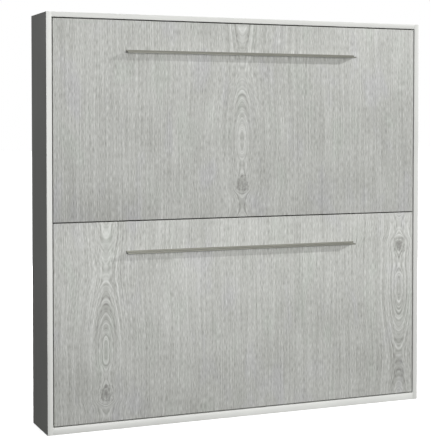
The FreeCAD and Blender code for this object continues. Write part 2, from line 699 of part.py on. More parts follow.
def cross_rails(name, base):
    """Tubes across the frame, behind the door."""
    body = new_body(f"{name}_cross_rails", base)
    left = f"(-{WIDE_PITCH} * {(CROSS_RAIL_COUNT - 1) / 2} - {size('rail_width / 2')})"
    made = upright_tubes(body, left, f"({left} + {size('rail_width')})", DOOR_BACK, FRAME_BACK, *RAIL_INNER)
    repeat_along(body, [made], "X_Axis", f"({WIDE_PITCH} * {CROSS_RAIL_COUNT - 1})", CROSS_RAIL_COUNT)
    return body


SLAT_LOW = size("frame_rise + slat_inset")
SLAT_TOP = f"({FRAME_TOP} - {size('slat_inset')})"


def slats(name, base):
    """Wooden slats across the bed's width."""
    body = new_body(f"{name}_slats", base)
    sketch = new_sketch(body, "XY_Plane", SLAT_LOW)
    left = f"(-({FRAME_X} - {size('slat_end_margin')}) - {size('slat_width / 2')})"
    rectangle(sketch, left, f"({left} + {size('slat_width')})", SLAT_FRONT, SLAT_BACK)
    made = [pad(body, sketch, f"({SLAT_TOP} - {SLAT_LOW})")]
    repeat_along(body, made, "X_Axis", f"({SLAT_PITCH} * {SLAT_COUNT - 1})", SLAT_COUNT)
    return body


def slat_holders(name, base):
    """Plastic caps on both rails that hold the slats' ends."""
    body = new_body(f"{name}_slat_holders", base)
    left = f"(-({FRAME_X} - {size('slat_end_margin')}) - {size('slat_width / 2 + holder_side')})"
    wall = size("holder_wall")
    lip = f"({HOLDER_BACK} - {wall})"
    made = []
    for end, inward in ((SLAT_LOW, 1), (SLAT_TOP, -1)):
        outside = f"({end} - {inward} * ({wall} + {size('holder_play')}))"
        inside = f"({end} + {inward} * {size('holder_reach')})"
        seat = f"({end} - {inward} * {size('holder_play')})"
        sketch = new_sketch(body, "YZ_Plane", left)
        outline(sketch, [
            (FRAME_BACK, outside), (HOLDER_BACK, outside), (HOLDER_BACK, inside), (lip, inside),
            (lip, seat), (SLAT_FRONT, seat), (SLAT_FRONT, inside), (FRAME_BACK, inside)])
        made.append(pad(body, sketch, size("slat_width + 2 * holder_side")))
    repeat_along(body, made, "X_Axis", f"({SLAT_PITCH} * {SLAT_COUNT - 1})", SLAT_COUNT)
    return body


def mattress(name, base):
    """The mattress as a plain closed solid with rounded corners."""
    body = new_body(f"{name}_mattress", base)
    sketch = new_sketch(body, "XZ_Plane", f"(-{MATTRESS_BACK})")
    half = size("mattress_length / 2")
    rectangle(sketch, f"(-{half})", half, size("mattress_rise"), MATTRESS_TOP)
    pad(body, sketch, size("mattress_thickness"))
    round_edges(body, size("mattress_corner_radius"), along(1))
    return body


def mattress_straps(name, base):
    """Bands from rail to rail round the mattress, which hold it while the bed is folded up."""
    body = new_body(f"{name}_mattress_straps", base)
    play, wall = size("strap_play"), size("strap_thickness")
    low, high = f"({size('mattress_rise')} - {play})", f"({MATTRESS_TOP} + {play})"
    back = f"({MATTRESS_BACK} + {play})"
    tab = size("frame_rise + rail_width - strap_tab")
    left = f"(-{WIDE_PITCH} * {(STRAP_COUNT - 1) / 2} - {size('strap_width / 2')})"
    sketch = new_sketch(body, "YZ_Plane", left)
    outline(sketch, [
        (FRAME_BACK, tab), (FRAME_BACK, low), (back, low), (back, high), (FRAME_BACK, high),
        (FRAME_BACK, f"({high} + {wall})"), (f"({back} + {wall})", f"({high} + {wall})"),
        (f"({back} + {wall})", f"({low} - {wall})"), (f"({FRAME_BACK} + {wall})", f"({low} - {wall})"),
        (f"({FRAME_BACK} + {wall})", tab)])
    made = [pad(body, sketch, size("strap_width"))]
    repeat_along(body, made, "X_Axis", f"({WIDE_PITCH} * {STRAP_COUNT - 1})", STRAP_COUNT)
    return body


def pivot_brackets(name, base):
    """Steel plates welded to the frame's ends, which carry the pins."""
    body = new_body(f"{name}_pivot_brackets", base)
    low, top = size("frame_rise"), size("pivot_rise + bracket_above")
    front, back = size("bracket_front"), size("bracket_back")
    taper = size("bracket_taper")
    sketch = new_sketch(body, "YZ_Plane", FRAME_X)
    outline(sketch, [
        (front, low), (FRAME_BACK, low), (back, f"({low} + {taper})"), (back, f"({top} - {taper})"),
        (FRAME_BACK, top), (front, top)])
    made = [pad(body, sketch, size("bracket_thickness"))]
    mirror_across(body, made)
    return body


def bed_pins(name, base):
    """Pivot pins, stop pins and strut studs, welded to the pivot brackets."""
    body = new_body(f"{name}_bed_pins", base)
    y, z = size("pivot_back"), size("pivot_rise")
    stud_reach = f"({STRUT_LOW_X} - {size('strut_play')} - {BRACKET_X})"
    pins = [
        (y, z, size("pivot_pin_radius"), size("pivot_pin_length")),
        (y, size("stop_pin_rise"), size("stop_pin_radius"), size("stop_pin_length")),
        (f"({y} + {size('stud_back')})", f"({z} - {size('stud_drop')})", size("stud_radius"), stud_reach),
    ]
    made = []
    for back, up, radius, reach in pins:
        sketch = new_sketch(body, "YZ_Plane", BRACKET_X)
        circle(sketch, back, up, radius)
        made.append(pad(body, sketch, reach))
    mirror_across(body, made)
    return body


def strike_plates(name, base):
    """Thin steel plates on the door's back that the catches hold."""
    body = new_body(f"{name}_strike_plates", base)
    x0 = f"({INNER_X} - {size('catch_width')})"
    sketch = new_sketch(body, "YZ_Plane", x0)
    rectangle(sketch, DOOR_BACK, f"({DOOR_BACK} + {size('strike_thickness')})", CATCH_RISE,
              f"({CATCH_RISE} + {size('catch_height')})")
    made = [pad(body, sketch, size("strike_width - door_gap"))]
    mirror_across(body, made)
    return body


# ---------------------------------------------------------------- gas struts
def strut_body(label, base, side):
    """A body drawn along its own z, from the strut's upper eye towards the stud on the bed."""
    body = doc.addObject("PartDesign::Body", label)
    body.Label = label
    body.AllowCompound = True
    body.Placement = FreeCAD.Placement(Vector(), FreeCAD.Rotation(Vector(1, 0, 0), number(STRUT_ANGLE)))
    bind(body, Placement__Base__x=f"({side} * {STRUT_X})",
         Placement__Base__y=f"({FRONT} + {size('pivot_back + anchor_back')})",
         Placement__Base__z=f"({base} + {size('pivot_rise + anchor_rise')})",
         Placement__Rotation__Angle=STRUT_ANGLE)
    return body


def strut_cylinder(label, base, side):
    """The pressure tube: an eye, a neck, a hollow tube and the guide that the rod runs in."""
    body = strut_body(label, base, side)
    eye = new_sketch(body, "YZ_Plane")
    circle(eye, "0", "0", size("eye_radius"))
    circle(eye, "0", "0", size("stud_radius + eye_play"))
    pad(body, eye, size("eye_width"), middle=True)
    neck = new_sketch(body, "XY_Plane", size("stud_radius + eye_play + strut_neck_gap"))
    circle(neck, "0", "0", size("strut_neck_radius"))
    pad(body, neck, size("strut_neck - stud_radius - eye_play - strut_neck_gap"))
    tube = new_sketch(body, "XY_Plane", size("strut_neck"))
    circle(tube, "0", "0", size("strut_radius"))
    pad(body, tube, f"({STRUT_LENGTH} - {size('strut_neck')})")
    bore = new_sketch(body, "XY_Plane", STRUT_LENGTH)
    circle(bore, "0", "0", size("rod_radius + rod_play"))
    pocket(body, bore, size("guide_length"))
    inside = new_sketch(body, "XY_Plane", f"({STRUT_LENGTH} - {size('guide_length')})")
    circle(inside, "0", "0", size("strut_radius - strut_wall"))
    pocket(body, inside, f"({STRUT_LENGTH} - {size('guide_length + strut_neck + strut_wall * 2')})")
    return body


def strut_rod(label, base, side):
    """The rod with its piston inside the tube and its socket at the stud on the bed."""
    body = strut_body(label, base, side)
    start = f"({STRUT_LENGTH} - {size('guide_length + piston_length + piston_standoff')})"
    piston = new_sketch(body, "XY_Plane", start)
    circle(piston, "0", "0", size("strut_radius - strut_wall - piston_play"))
    pad(body, piston, size("piston_length"))
    rod = new_sketch(body, "XY_Plane", start)
    circle(rod, "0", "0", size("rod_radius"))
    pad(body, rod, f"({STRUT_SPAN} - {start})")
    socket = new_sketch(body, "YZ_Plane")
    circle(socket, "0", STRUT_SPAN, size("eye_radius"))
    pad(body, socket, size("eye_width"), middle=True)
    return body


# ---------------------------------------------------------------- guard rail of the upper bed
def guard_posts_x():
    """The outer face of each guard post along x, and the way towards the rail's middle."""
    inset = size("guard_post_inset")
    return [(f"({GUARD_LEFT} + {inset})", 1), (f"({GUARD_RIGHT} - {inset})", -1)]


def guard_rail():
    """A tube frame that lies over the folded mattress and stands up along the open bed's edge."""
    body = new_body("guard_rail", BED_BASE["upper"])
    y, hinge = GUARD_Y, GUARD_HINGE
    radius = size("guard_tube_radius")
    low = f"({GUARD_LOW} + {radius})"
    for z in (low, f"(({low} + {hinge}) / 2)"):
        bar = new_sketch(body, "YZ_Plane", GUARD_LEFT)
        circle(bar, y, z, radius)
        pad(body, bar, f"({GUARD_RIGHT} - {GUARD_LEFT})")
    for x, inward in guard_posts_x():
        post = new_sketch(body, "XY_Plane", GUARD_LOW)
        circle(post, f"({x} + {inward} * {radius})", y, size("guard_upright_radius"))
        pad(body, post, f"({hinge} - {GUARD_LOW} - {size('guard_pin_radius')})")
        eye = new_sketch(body, "YZ_Plane", x)
        circle(eye, y, hinge, radius)
        pad(body, eye, f"(2 * {radius})", backwards=inward < 0)
        bore = new_sketch(body, "YZ_Plane", x)
        circle(bore, y, hinge, size("guard_pin_radius + guard_pin_play"))
        pocket(body, bore)
    return body


def guard_brackets():
    """Flat posts on the upper bed's front rail with the pins that the guard rail turns on."""
    body = new_body("guard_brackets", BED_BASE["upper"])
    y, hinge = GUARD_Y, GUARD_HINGE
    half = size("guard_post_width / 2")
    low, top, end = f"({hinge} - {half})", f"({hinge} + {half})", f"({y} + {half})"
    foot = f"({FRAME_BACK} - {size('guard_post_foot')})"
    for x, inward in guard_posts_x():
        face = f"({x} - {inward} * {size('guard_post_play')})"
        post = new_sketch(body, "YZ_Plane", face)
        outline(post, [(FRAME_BACK, low), (end, low), (end, top), (foot, top), (foot, FRAME_TOP),
                       (FRAME_BACK, FRAME_TOP)])
        pad(body, post, size("guard_post_thickness"), backwards=inward > 0)
        pin = new_sketch(body, "YZ_Plane", face)
        circle(pin, y, hinge, size("guard_pin_radius"))
        pad(body, pin, size("2 * guard_tube_radius"), backwards=inward < 0)
    return body


# ---------------------------------------------------------------- ladder, stowed behind the lower bed
def ladder_stiles():
    """Two rectangular tubes that lie along x while the ladder is stowed."""
    body = new_body("ladder_stiles")
    wall = size("tube_wall")
    for low in (size("ladder_bottom"), f"({LADDER_TOP} - {size('stile_width')})"):
        sketch = new_sketch(body, "YZ_Plane", f"(-{LADDER_END})")
        high = f"({low} + {size('stile_width')})"
        rectangle(sketch, LADDER_FRONT, LADDER_BACK, low, high)
        rectangle(sketch, f"({LADDER_FRONT} + {wall})", f"({LADDER_BACK} - {wall})", f"({low} + {wall})",
                  f"({high} - {wall})")
        pad(body, sketch, size("ladder_length"))
    return body


def ladder_rungs():
    """Round rungs between the stiles."""
    body = new_body("ladder_rungs")
    low = size("ladder_bottom + stile_width")
    sketch = new_sketch(body, "XY_Plane", low)
    circle(sketch, size("rung_first - ladder_length / 2"), f"(({LADDER_FRONT} + {LADDER_BACK}) / 2)",
           size("rung_radius"))
    made = [pad(body, sketch, size("ladder_width - 2 * stile_width"))]
    repeat_along(body, made, "X_Axis", f"({size('rung_pitch')} * {RUNG_COUNT - 1})", RUNG_COUNT)
    return body


def ladder_hooks():
    """Flat steel hooks at the ladder's upper end, which hang over the upper bed's front rail."""
    body = new_body("ladder_hooks")
    wall = size("ladder_hook_thickness")
    tip = f"({LADDER_FRONT} - {size('ladder_hook_reach')})"
    back = LADDER_FRONT
    for low in (size("ladder_bottom"), f"({LADDER_TOP} - {size('stile_width')})"):
        sketch = new_sketch(body, "XY_Plane", low)
        outline(sketch, [
            (f"({LADDER_END} - {size('ladder_hook_leg')})", back), (LADDER_END, back), (LADDER_END, tip),
            (f"({LADDER_END} - {size('ladder_hook_lip')})", tip),
            (f"({LADDER_END} - {size('ladder_hook_lip')})", f"({tip} + {wall})"),
            (f"({LADDER_END} - {wall})", f"({tip} + {wall})"),
            (f"({LADDER_END} - {wall})", f"({back} - {wall})"),
            (f"({LADDER_END} - {size('ladder_hook_leg')})", f"({back} - {wall})")])
        pad(body, sketch, size("stile_width"))
    return body


def ladder_feet():
    """Rubber plugs at the ladder's lower end."""
    body = new_body("ladder_feet")
    grow = size("ladder_foot_wall")
    for low in (size("ladder_bottom"), f"({LADDER_TOP} - {size('stile_width')})"):
        sketch = new_sketch(body, "YZ_Plane", f"(-{LADDER_END})")
        rectangle(sketch, f"({LADDER_FRONT} - {grow})", f"({LADDER_BACK} + {grow})", low,
                  f"({low} + {size('stile_width')})")
        pad(body, sketch, size("ladder_foot_length"), backwards=True)
    return body


# ---------------------------------------------------------------- the assembly
side_panel("left_side_panel", right=False)
side_panel("right_side_panel", right=True)
level_board("top_panel", INNER_TOP, CABINET_HEIGHT, "0", BACK_Y)
level_board("bottom_panel", "0", size("bottom_thickness"), "0", BACK_Y)
level_board("middle_shelf", f"({SHELF_TOP} - {size('shelf_thickness')})", SHELF_TOP, size("shelf_setback"),
            BACK_Y)
back_panel("lower_back_panel", *LOWER_BACK, bolt_holes=False)
back_panel("upper_back_panel", *UPPER_BACK, bolt_holes=True)
back_panel_screws()
wall_rail()
corner_angles()
pivot_plates()
plate_screws()
pivot_bushes()
stop_buffers()
magnetic_catches()
strut_anchor_studs()
ladder_wall_hooks()
for bed, bed_base in BED_BASE.items():
    door_panel(bed, bed_base)
    handle(bed, bed_base)
    door_fixings(bed, bed_base)
    long_rail(f"{bed}_rear_rail", bed_base, size("frame_rise"), size("frame_rise + rail_width"))
    long_rail(f"{bed}_front_rail", bed_base, f"({FRAME_TOP} - {size('rail_width')})", FRAME_TOP)
    end_rails(bed, bed_base)
    cross_rails(bed, bed_base)
    slats(bed, bed_base)
    slat_holders(bed, bed_base)
    mattress(bed, bed_base)
    mattress_straps(bed, bed_base)
    pivot_brackets(bed, bed_base)
    bed_pins(bed, bed_base)
    strike_plates(bed, bed_base)
    for hand, way in (("left", -1), ("right", 1)):
        strut_cylinder(f"{bed}_{hand}_strut_cylinder", bed_base, way)
        strut_rod(f"{bed}_{hand}_strut_rod", bed_base, way)
guard_brackets()
guard_rail()
ladder_stiles()
ladder_rungs()
ladder_hooks()
ladder_feet()

# ---------------------------------------------------------------- check, then write
doc.recompute()
broken = [o.Label for o in doc.Objects if "Invalid" in o.State or "Error" in o.State]
if broken:
    raise RuntimeError(f"these objects failed: {broken}")
bodies = [o for o in doc.Objects if o.TypeId == "PartDesign::Body"]
for piece in bodies:
    if piece.Shape.isNull() or not piece.Shape.isValid() or not piece.Shape.Solids:
        raise RuntimeError(f"{piece.Label} has no valid solid")
os.makedirs("parts", exist_ok=True)
for piece in bodies:
    piece.Shape.exportStep(f"parts/{piece.Label}.step")
overall = [2 * number(OUTER_X), number(CABINET_DEPTH), number(CABINET_HEIGHT)]
print(f"{len(bodies)} sub-parts, {sum(len(b.Shape.Solids) for b in bodies)} solids, cabinet {overall} mm")
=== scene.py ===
"""The finished look of a wall cabinet that holds two horizontal fold-down single beds.

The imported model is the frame. Backs, tubes, plates and hinges keep its solids and get real finishes.
Edged boards, doors, handles, mattresses, straps, slats, struts, screws and small fittings are modelled
here in more detail, each in the place of its own solid, and ride on the same bodies.
"""
import logging
import math
from dataclasses import dataclass, field
from enum import Enum

import bmesh
import bpy
from bmesh.types import BMEdge, BMesh, BMFace, BMVert
from bpy.types import ID, Material, Mesh, Node, NodeSocket, NodeTree, Object
from mathutils import Matrix, Vector
from mathutils.bvhtree import BVHTree


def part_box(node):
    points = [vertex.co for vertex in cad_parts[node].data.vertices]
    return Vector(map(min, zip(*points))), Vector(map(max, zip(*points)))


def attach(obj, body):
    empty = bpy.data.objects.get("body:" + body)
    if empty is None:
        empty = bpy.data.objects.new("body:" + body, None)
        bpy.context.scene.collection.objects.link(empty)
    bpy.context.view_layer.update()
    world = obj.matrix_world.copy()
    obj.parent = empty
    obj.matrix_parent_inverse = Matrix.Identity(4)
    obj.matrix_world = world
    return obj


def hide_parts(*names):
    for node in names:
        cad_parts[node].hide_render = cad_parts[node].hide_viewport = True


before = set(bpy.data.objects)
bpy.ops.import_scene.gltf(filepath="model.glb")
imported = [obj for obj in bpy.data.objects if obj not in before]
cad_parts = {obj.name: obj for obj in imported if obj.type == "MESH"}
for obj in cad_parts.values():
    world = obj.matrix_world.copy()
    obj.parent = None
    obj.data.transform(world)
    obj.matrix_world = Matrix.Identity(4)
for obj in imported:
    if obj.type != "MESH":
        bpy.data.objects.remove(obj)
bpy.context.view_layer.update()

LEFT_RIGHT, FRONT_BACK, UP = Vector((1, 0, 0)), Vector((0, 1, 0)), Vector((0, 0, 1))
log = logging.getLogger("wall_cabinet")


# ---------------------------------------------------------------- colours and shader nodes
def linear(colour: str) -> tuple[float, float, float, float]:
    """Turn a colour written as sRGB hex into the linear values that shaders use.

    Args:
        colour: six hex digits after a hash, such as "#bcbdb6".

    Returns:
        Linear red, green and blue, and an alpha of one.
    """
    parts = [int(colour[i:i + 2], 16) / 255 for i in (1, 3, 5)]
    # the sRGB curve: straight near black, a power above
    red, green, blue = (c / 12.92 if c <= 0.04045 else ((c + 0.055) / 1.055) ** 2.4 for c in parts)
    return red, green, blue, 1.0


def add(tree: NodeTree, kind: str, feeds: dict | None = None, out: int | str = 0,
        **settings: object) -> NodeSocket:
    """Add one shader node with its settings and links.

    Args:
        tree: the material's, light's or world's node tree.
        kind: the node's type, without "ShaderNode".
        feeds: a value, a colour or another node's socket for each input, by its name or number.
        out: the name or number of the output that the caller wants.
        settings: the node's own properties.

    Returns:
        The chosen output socket, or the node's first input where it has no outputs.
    """
    node: Node = tree.nodes.new("ShaderNode" + kind)
    for name, value in settings.items():
        setattr(node, name, value)
    for key, value in (feeds or {}).items():
        if isinstance(value, NodeSocket):
            tree.links.new(value, node.inputs[key])
        else:
            node.inputs[key].default_value = value
    return node.outputs[out] if len(node.outputs) else node.inputs[0]


def shaped(socket: NodeSocket, stops: list[tuple[float, float | str]]) -> NodeSocket:
    """Set the stops of a colour ramp that was just added.

    Args:
        socket: the ramp's output.
        stops: places from 0 to 1, each with a grey level or an sRGB hex colour.

    Returns:
        The same socket.
    """
    ramp = socket.node.color_ramp
    while len(ramp.elements) < len(stops):
        ramp.elements.new(1.0)
    for element, (place, colour) in zip(ramp.elements, stops):
        element.position = place
        element.color = linear(colour) if isinstance(colour, str) else (colour, colour, colour, 1.0)
    return socket


def wave_scale(pitch: float) -> float:
    """Return the Wave node's scale for bands that are a pitch apart in metres."""
    return math.tau / (20 * pitch)


# ---------------------------------------------------------------- finishes
@dataclass(frozen=True)
class Finish:
    """A surface finish: what the material is, how its surface was made, and its colour."""

    name: str
    colour: str
    roughness: float = 0.5
    metallic: float = 0.0
    ior: float = 1.5

    def material(self) -> Material:
        """Make the Blender material on first use.

        Returns:
            The material.
        """
        made = bpy.data.materials.get(self.name)
        if made is None:
            made = bpy.data.materials.new(self.name)
            made.use_nodes = True
            tree = made.node_tree
            shader = tree.nodes["Principled BSDF"]
            shader.inputs["Base Color"].default_value = linear(self.colour)
            shader.inputs["Roughness"].default_value = self.roughness
            shader.inputs["Metallic"].default_value = self.metallic
            if self.metallic < 1:
                shader.inputs["IOR"].default_value = self.ior
            place = add(tree, "TexCoord", out="Object")
            self.dress(tree, shader, place)
        return made

    def dress(self, tree: NodeTree, shader: Node, place: NodeSocket) -> None:
        """Add this finish's own pattern; the plain finish has none.

        Args:
            tree: the material's node tree.
            shader: its surface shader.
            place: the place on the piece, in metres.
        """

    def tone(self, tree: NodeTree, shader: Node, pattern: NodeSocket,
             stops: list[tuple[float, float | str]]) -> None:
        """Drive the base colour from a pattern through a ramp.

        Args:
            tree: the material's node tree.
            shader: its surface shader.
            pattern: the pattern.
            stops: places from 0 to 1, each with an sRGB hex colour.
        """
        ramp = shaped(add(tree, "ValToRGB", {0: pattern}), stops)
        tree.links.new(ramp, shader.inputs["Base Color"])

    def tint(self, tree: NodeTree, shader: Node, pattern: NodeSocket, reach: tuple[float, float],
             shades: tuple[float, float]) -> None:
        """Darken and lighten the finish's own colour with a pattern.

        Args:
            tree: the material's node tree.
            shader: its surface shader.
            pattern: the pattern.
            reach: the pattern's values at the two ends of the change.
            shades: what the colour is multiplied by at each end.
        """
        shade = add(tree, "MapRange", {0: pattern, 1: reach[0], 2: reach[1], 3: shades[0], 4: shades[1]})
        mixed = add(tree, "Mix", {0: 1.0, 6: linear(self.colour), 7: shade}, out=2, data_type="RGBA",
                    blend_type="MULTIPLY")
        tree.links.new(mixed, shader.inputs["Base Color"])

    def gloss(self, tree: NodeTree, shader: Node, pattern: NodeSocket, reach: tuple[float, float],
              change: tuple[float, float]) -> None:
        """Make the roughness uneven with a pattern.

        Args:
            tree: the material's node tree.
            shader: its surface shader.
            pattern: the pattern.
            reach: the pattern's values at the two ends of the change.
            change: what is added to the finish's own roughness at each end.
        """
        uneven = add(tree, "MapRange", {0: pattern, 1: reach[0], 2: reach[1],
                                        3: self.roughness + change[0], 4: self.roughness + change[1]})
        tree.links.new(uneven, shader.inputs["Roughness"])

    def relief(self, tree: NodeTree, shader: Node, height: NodeSocket, depth: float,
               strength: float) -> None:
        """Drive the shader's normal from a height pattern.

        Args:
            tree: the material's node tree.
            shader: its surface shader.
            height: the height pattern, from 0 to 1.
            depth: what it is from low to high, in metres.
            strength: how strongly the light follows it.
        """
        bump = add(tree, "Bump", {"Height": height, "Distance": depth, "Strength": strength})
        tree.links.new(bump, shader.inputs["Normal"])


@dataclass(frozen=True)
class Figure:
    """One cathedral figure in the door's ash pattern: a knot with ovals and arches drawn out from it.

    Attributes:
        x: the knot's distance from the door's left edge.
        z: the knot's height above the door's lower edge.
        way: 1 where the arches point up, -1 where they point down.
    """

    x: float
    z: float
    way: int = 1


@dataclass(frozen=True)
class AshBoard(Finish):
    """Grey-white ash, a printed decor foil pressed on chipboard.

    Its fibres run straight up and are drawn aside round each cathedral figure.

    Attributes:
        corner: the x and z of the door's lower left corner.
        figures: the door's cathedral figures.
        span: the length along a figure that its flare covers.
        fall: how much of that length is behind the knot.
        flare: how far the ring lines stand off the figure's axis, at shares of the span.
        flare_top: the most that the flare can be.
        arch_reach: lines nearer to the axis than this close over it in an arch.
        wander: how far the fibres stray sideways.
        rings: the ring lines' pitch, their changes in a metre along the board, weight and offset.
        ring_sides: how far from the axis the ring lines fade out, and where they are full.
        ring_start: the same along the figure, from behind the knot.
        layers: the width, length and weight of each fibre pattern: broad and long streaks, patches of a
            hand's width, then long fibres and short ones, both 3 mm wide so that they show.
        knot_half: half the knot's width and height.
        knot_cracks: the cracks in a metre of the knot, across and up.
        knot_tear: how deeply the cracks tear the knot's edge, and where the tears start.
        knot_fade: where the knot ends and where it is full, in halves of its size.
        knot_dark: how dark the knot is.
    """

    corner: tuple[float, float] = (0.0, 0.0)
    figures: tuple[Figure, ...] = ()
    span: float = 1.5
    fall: float = 0.35
    flare: tuple[tuple[float, float], ...] = (
        (0.00, 0.010), (0.10, 0.034), (0.155, 0.052), (0.183, 0.049), (0.21, 0.022), (0.233, 0.006),
        (0.260, 0.022), (0.300, 0.027), (0.343, 0.012), (0.383, 0.000), (0.427, 0.014), (0.467, 0.030),
        (0.527, 0.052), (0.593, 0.070), (0.643, 0.077), (0.700, 0.073), (0.800, 0.060), (1.00, 0.050))
    flare_top: float = 0.1
    arch_reach: float = 0.08
    wander: float = 0.014
    rings: tuple[float, float, float, float] = (0.0062, 1.6, 0.85, -0.40)
    ring_sides: tuple[float, float] = (0.15, 0.04)
    ring_start: tuple[float, float] = (-0.16, -0.07)
    layers: tuple[tuple[float, float, float], ...] = (
        (0.0070, 0.60, 0.22), (0.026, 0.9, 0.14), (0.2, 0.2, 0.30), (0.0030, 0.30, 0.80),
        (0.0028, 0.030, 1.25))
    knot_half: tuple[float, float] = (0.050, 0.060)
    knot_cracks: tuple[float, float] = (75.0, 38.0)
    knot_tear: tuple[float, float] = (2.6, -1.25)
    knot_fade: tuple[float, float] = (1.05, 0.15)
    knot_dark: float = 0.42

    def knot_place(self, figure: Figure) -> tuple[float, float]:
        """Return the x and z of a figure's knot."""
        return self.corner[0] + figure.x, self.corner[1] + figure.z

    def drawn_aside(self, tree: NodeTree, x: NodeSocket, z: NodeSocket, figure: Figure) -> NodeSocket:
        """Bend the fibres' x round one figure.

        Args:
            tree: the material's node tree.
            x: the fibres' place across the board.
            z: the height.
            figure: the figure to bend round.

        Returns:
            The new place across the board, constant along a fibre.
        """
        knot_x, knot_z = self.knot_place(figure)
        up = add(tree, "Math", {0: z, 1: knot_z}, operation="SUBTRACT")
        share = add(tree, "Math", {0: up, 1: figure.way / self.span, 2: self.fall / self.span},
                    operation="MULTIPLY_ADD")
        curve = add(tree, "FloatCurve", {"Value": share})
        points = curve.node.mapping.curves[0].points
        while len(points) < len(self.flare):
            points.new(0.5, 0.5)
        for point, (place, half) in zip(points, self.flare):
            point.location = (place, half / self.flare_top)
        curve.node.mapping.update()
        half = add(tree, "Math", {0: curve, 1: self.flare_top}, operation="MULTIPLY")
        aside = add(tree, "Math", {0: x, 1: knot_x}, operation="SUBTRACT")
        square = add(tree, "Math", {0: half, 1: half}, operation="MULTIPLY")
        sum_of_squares = add(tree, "Math", {0: aside, 1: aside, 2: square}, operation="MULTIPLY_ADD")
        ring = add(tree, "Math", {0: sum_of_squares}, operation="SQRT")
        outside = add(tree, "Math", {0: ring, 1: self.arch_reach}, operation="GREATER_THAN")
        side = add(tree, "Math", {0: aside}, operation="SIGN")
        flip = add(tree, "Math", {0: side, 1: 1.0}, operation="SUBTRACT")
        signed = add(tree, "Math", {0: outside, 1: flip, 2: 1.0}, operation="MULTIPLY_ADD")
        return add(tree, "Math", {0: ring, 1: signed, 2: knot_x}, operation="MULTIPLY_ADD")

    def ring_mask(self, tree: NodeTree, x: NodeSocket, z: NodeSocket, figure: Figure) -> NodeSocket:
        """Mask the stretch along one figure where the ring lines stand out from the plain fibres.

        Args:
            tree: the material's node tree.
            x: the place across the board.
            z: the height.
            figure: the figure.

        Returns:
            The mask, which is 1 along the figure.
        """
        knot_x, knot_z = self.knot_place(figure)
        off = add(tree, "Math", {0: x, 1: knot_x}, operation="SUBTRACT")
        off = add(tree, "Math", {0: off}, operation="ABSOLUTE")
        off = add(tree, "MapRange", {0: off, 1: self.ring_sides[0], 2: self.ring_sides[1]},
                  interpolation_type="SMOOTHSTEP")
        up = add(tree, "Math", {0: z, 1: knot_z}, operation="SUBTRACT")
        up = add(tree, "Math", {0: up, 1: figure.way}, operation="MULTIPLY")
        up = add(tree, "MapRange", {0: up, 1: self.ring_start[0], 2: self.ring_start[1]},
                 interpolation_type="SMOOTHSTEP")
        return add(tree, "Math", {0: off, 1: up}, operation="MULTIPLY")

    def knot(self, tree: NodeTree, x: NodeSocket, z: NodeSocket, figure: Figure) -> NodeSocket:
        """Mask one figure's dark knot.

        Args:
            tree: the material's node tree.
            x: the place across the board.
            z: the height.
            figure: the figure.

        Returns:
            The mask, which is 1 in the knot and fades round it.
        """
        knot_x, knot_z = self.knot_place(figure)
        across, up = self.knot_half
        place = add(tree, "CombineXYZ", {0: x, 2: z})
        away = add(tree, "VectorMath", {0: place, 1: (knot_x, 0, knot_z)}, operation="SUBTRACT")
        crack = add(tree, "Mapping", {0: away, 3: (self.knot_cracks[0], 1.0, self.knot_cracks[1])})
        crack = add(tree, "TexNoise", {"Vector": crack, "Scale": 1.0, "Detail": 3.0, "Roughness": 0.65})
        reach = add(tree, "VectorMath", {0: away, 1: (1 / across, 0, 1 / up)}, operation="MULTIPLY")
        length = add(tree, "VectorMath", {0: reach}, out="Value", operation="LENGTH")
        torn = add(tree, "Math", {0: crack, 1: self.knot_tear[0], 2: self.knot_tear[1]},
                   operation="MULTIPLY_ADD")
        rough = add(tree, "Math", {0: length, 1: torn}, operation="ADD")
        return add(tree, "MapRange", {0: rough, 1: self.knot_fade[0], 2: self.knot_fade[1]},
                   interpolation_type="SMOOTHSTEP")

    def dress(self, tree: NodeTree, shader: Node, place: NodeSocket) -> None:
        """Lay out fibres, rings, patches and knots, and a shallow pressed grain in step with them.

        Args:
            tree: the material's node tree.
            shader: its surface shader.
            place: the place on the piece, in metres.
        """
        wander = add(tree, "Mapping", {0: place, 3: (5.0, 5.0, 1.3)})
        wander = add(tree, "TexNoise", {"Vector": wander, "Scale": 1.0, "Detail": 2.0})
        shift = add(tree, "Math", {0: wander, 1: self.wander, 2: -self.wander / 2}, operation="MULTIPLY_ADD")
        axes = add(tree, "SeparateXYZ", {0: place})
        y, z = axes.node.outputs["Y"], axes.node.outputs["Z"]
        straight_x = add(tree, "Math", {0: axes, 1: shift}, operation="ADD")
        bent_x = straight_x
        near: float | NodeSocket = 0.0
        for figure in self.figures:
            bent_x = self.drawn_aside(tree, bent_x, z, figure)
            mask = self.ring_mask(tree, straight_x, z, figure)
            near = add(tree, "Math", {0: near, 1: mask}, operation="MAXIMUM")
        fibre = add(tree, "CombineXYZ", {0: bent_x, 1: y, 2: z})
        pitch, changes, weight, offset = self.rings
        total = add(tree, "Mapping", {0: fibre, 3: (1 / pitch, 1.0, changes)})
        total = add(tree, "TexNoise", {"Vector": total, "Scale": 1.0, "Detail": 1.0})
        total = add(tree, "Math", {0: total, 1: weight, 2: offset}, operation="MULTIPLY_ADD")
        total = add(tree, "Math", {0: total, 1: near}, operation="MULTIPLY")
        for across, along, weight in self.layers:
            layer = add(tree, "Mapping", {0: fibre, 3: (1 / across, 1 / across, 1 / along)})
            layer = add(tree, "TexNoise", {"Vector": layer, "Scale": 1.0, "Detail": 1.5})
            layer = add(tree, "Math", {0: layer, 1: weight, 2: -weight / 2}, operation="MULTIPLY_ADD")
            total = add(tree, "Math", {0: total, 1: layer}, operation="ADD")
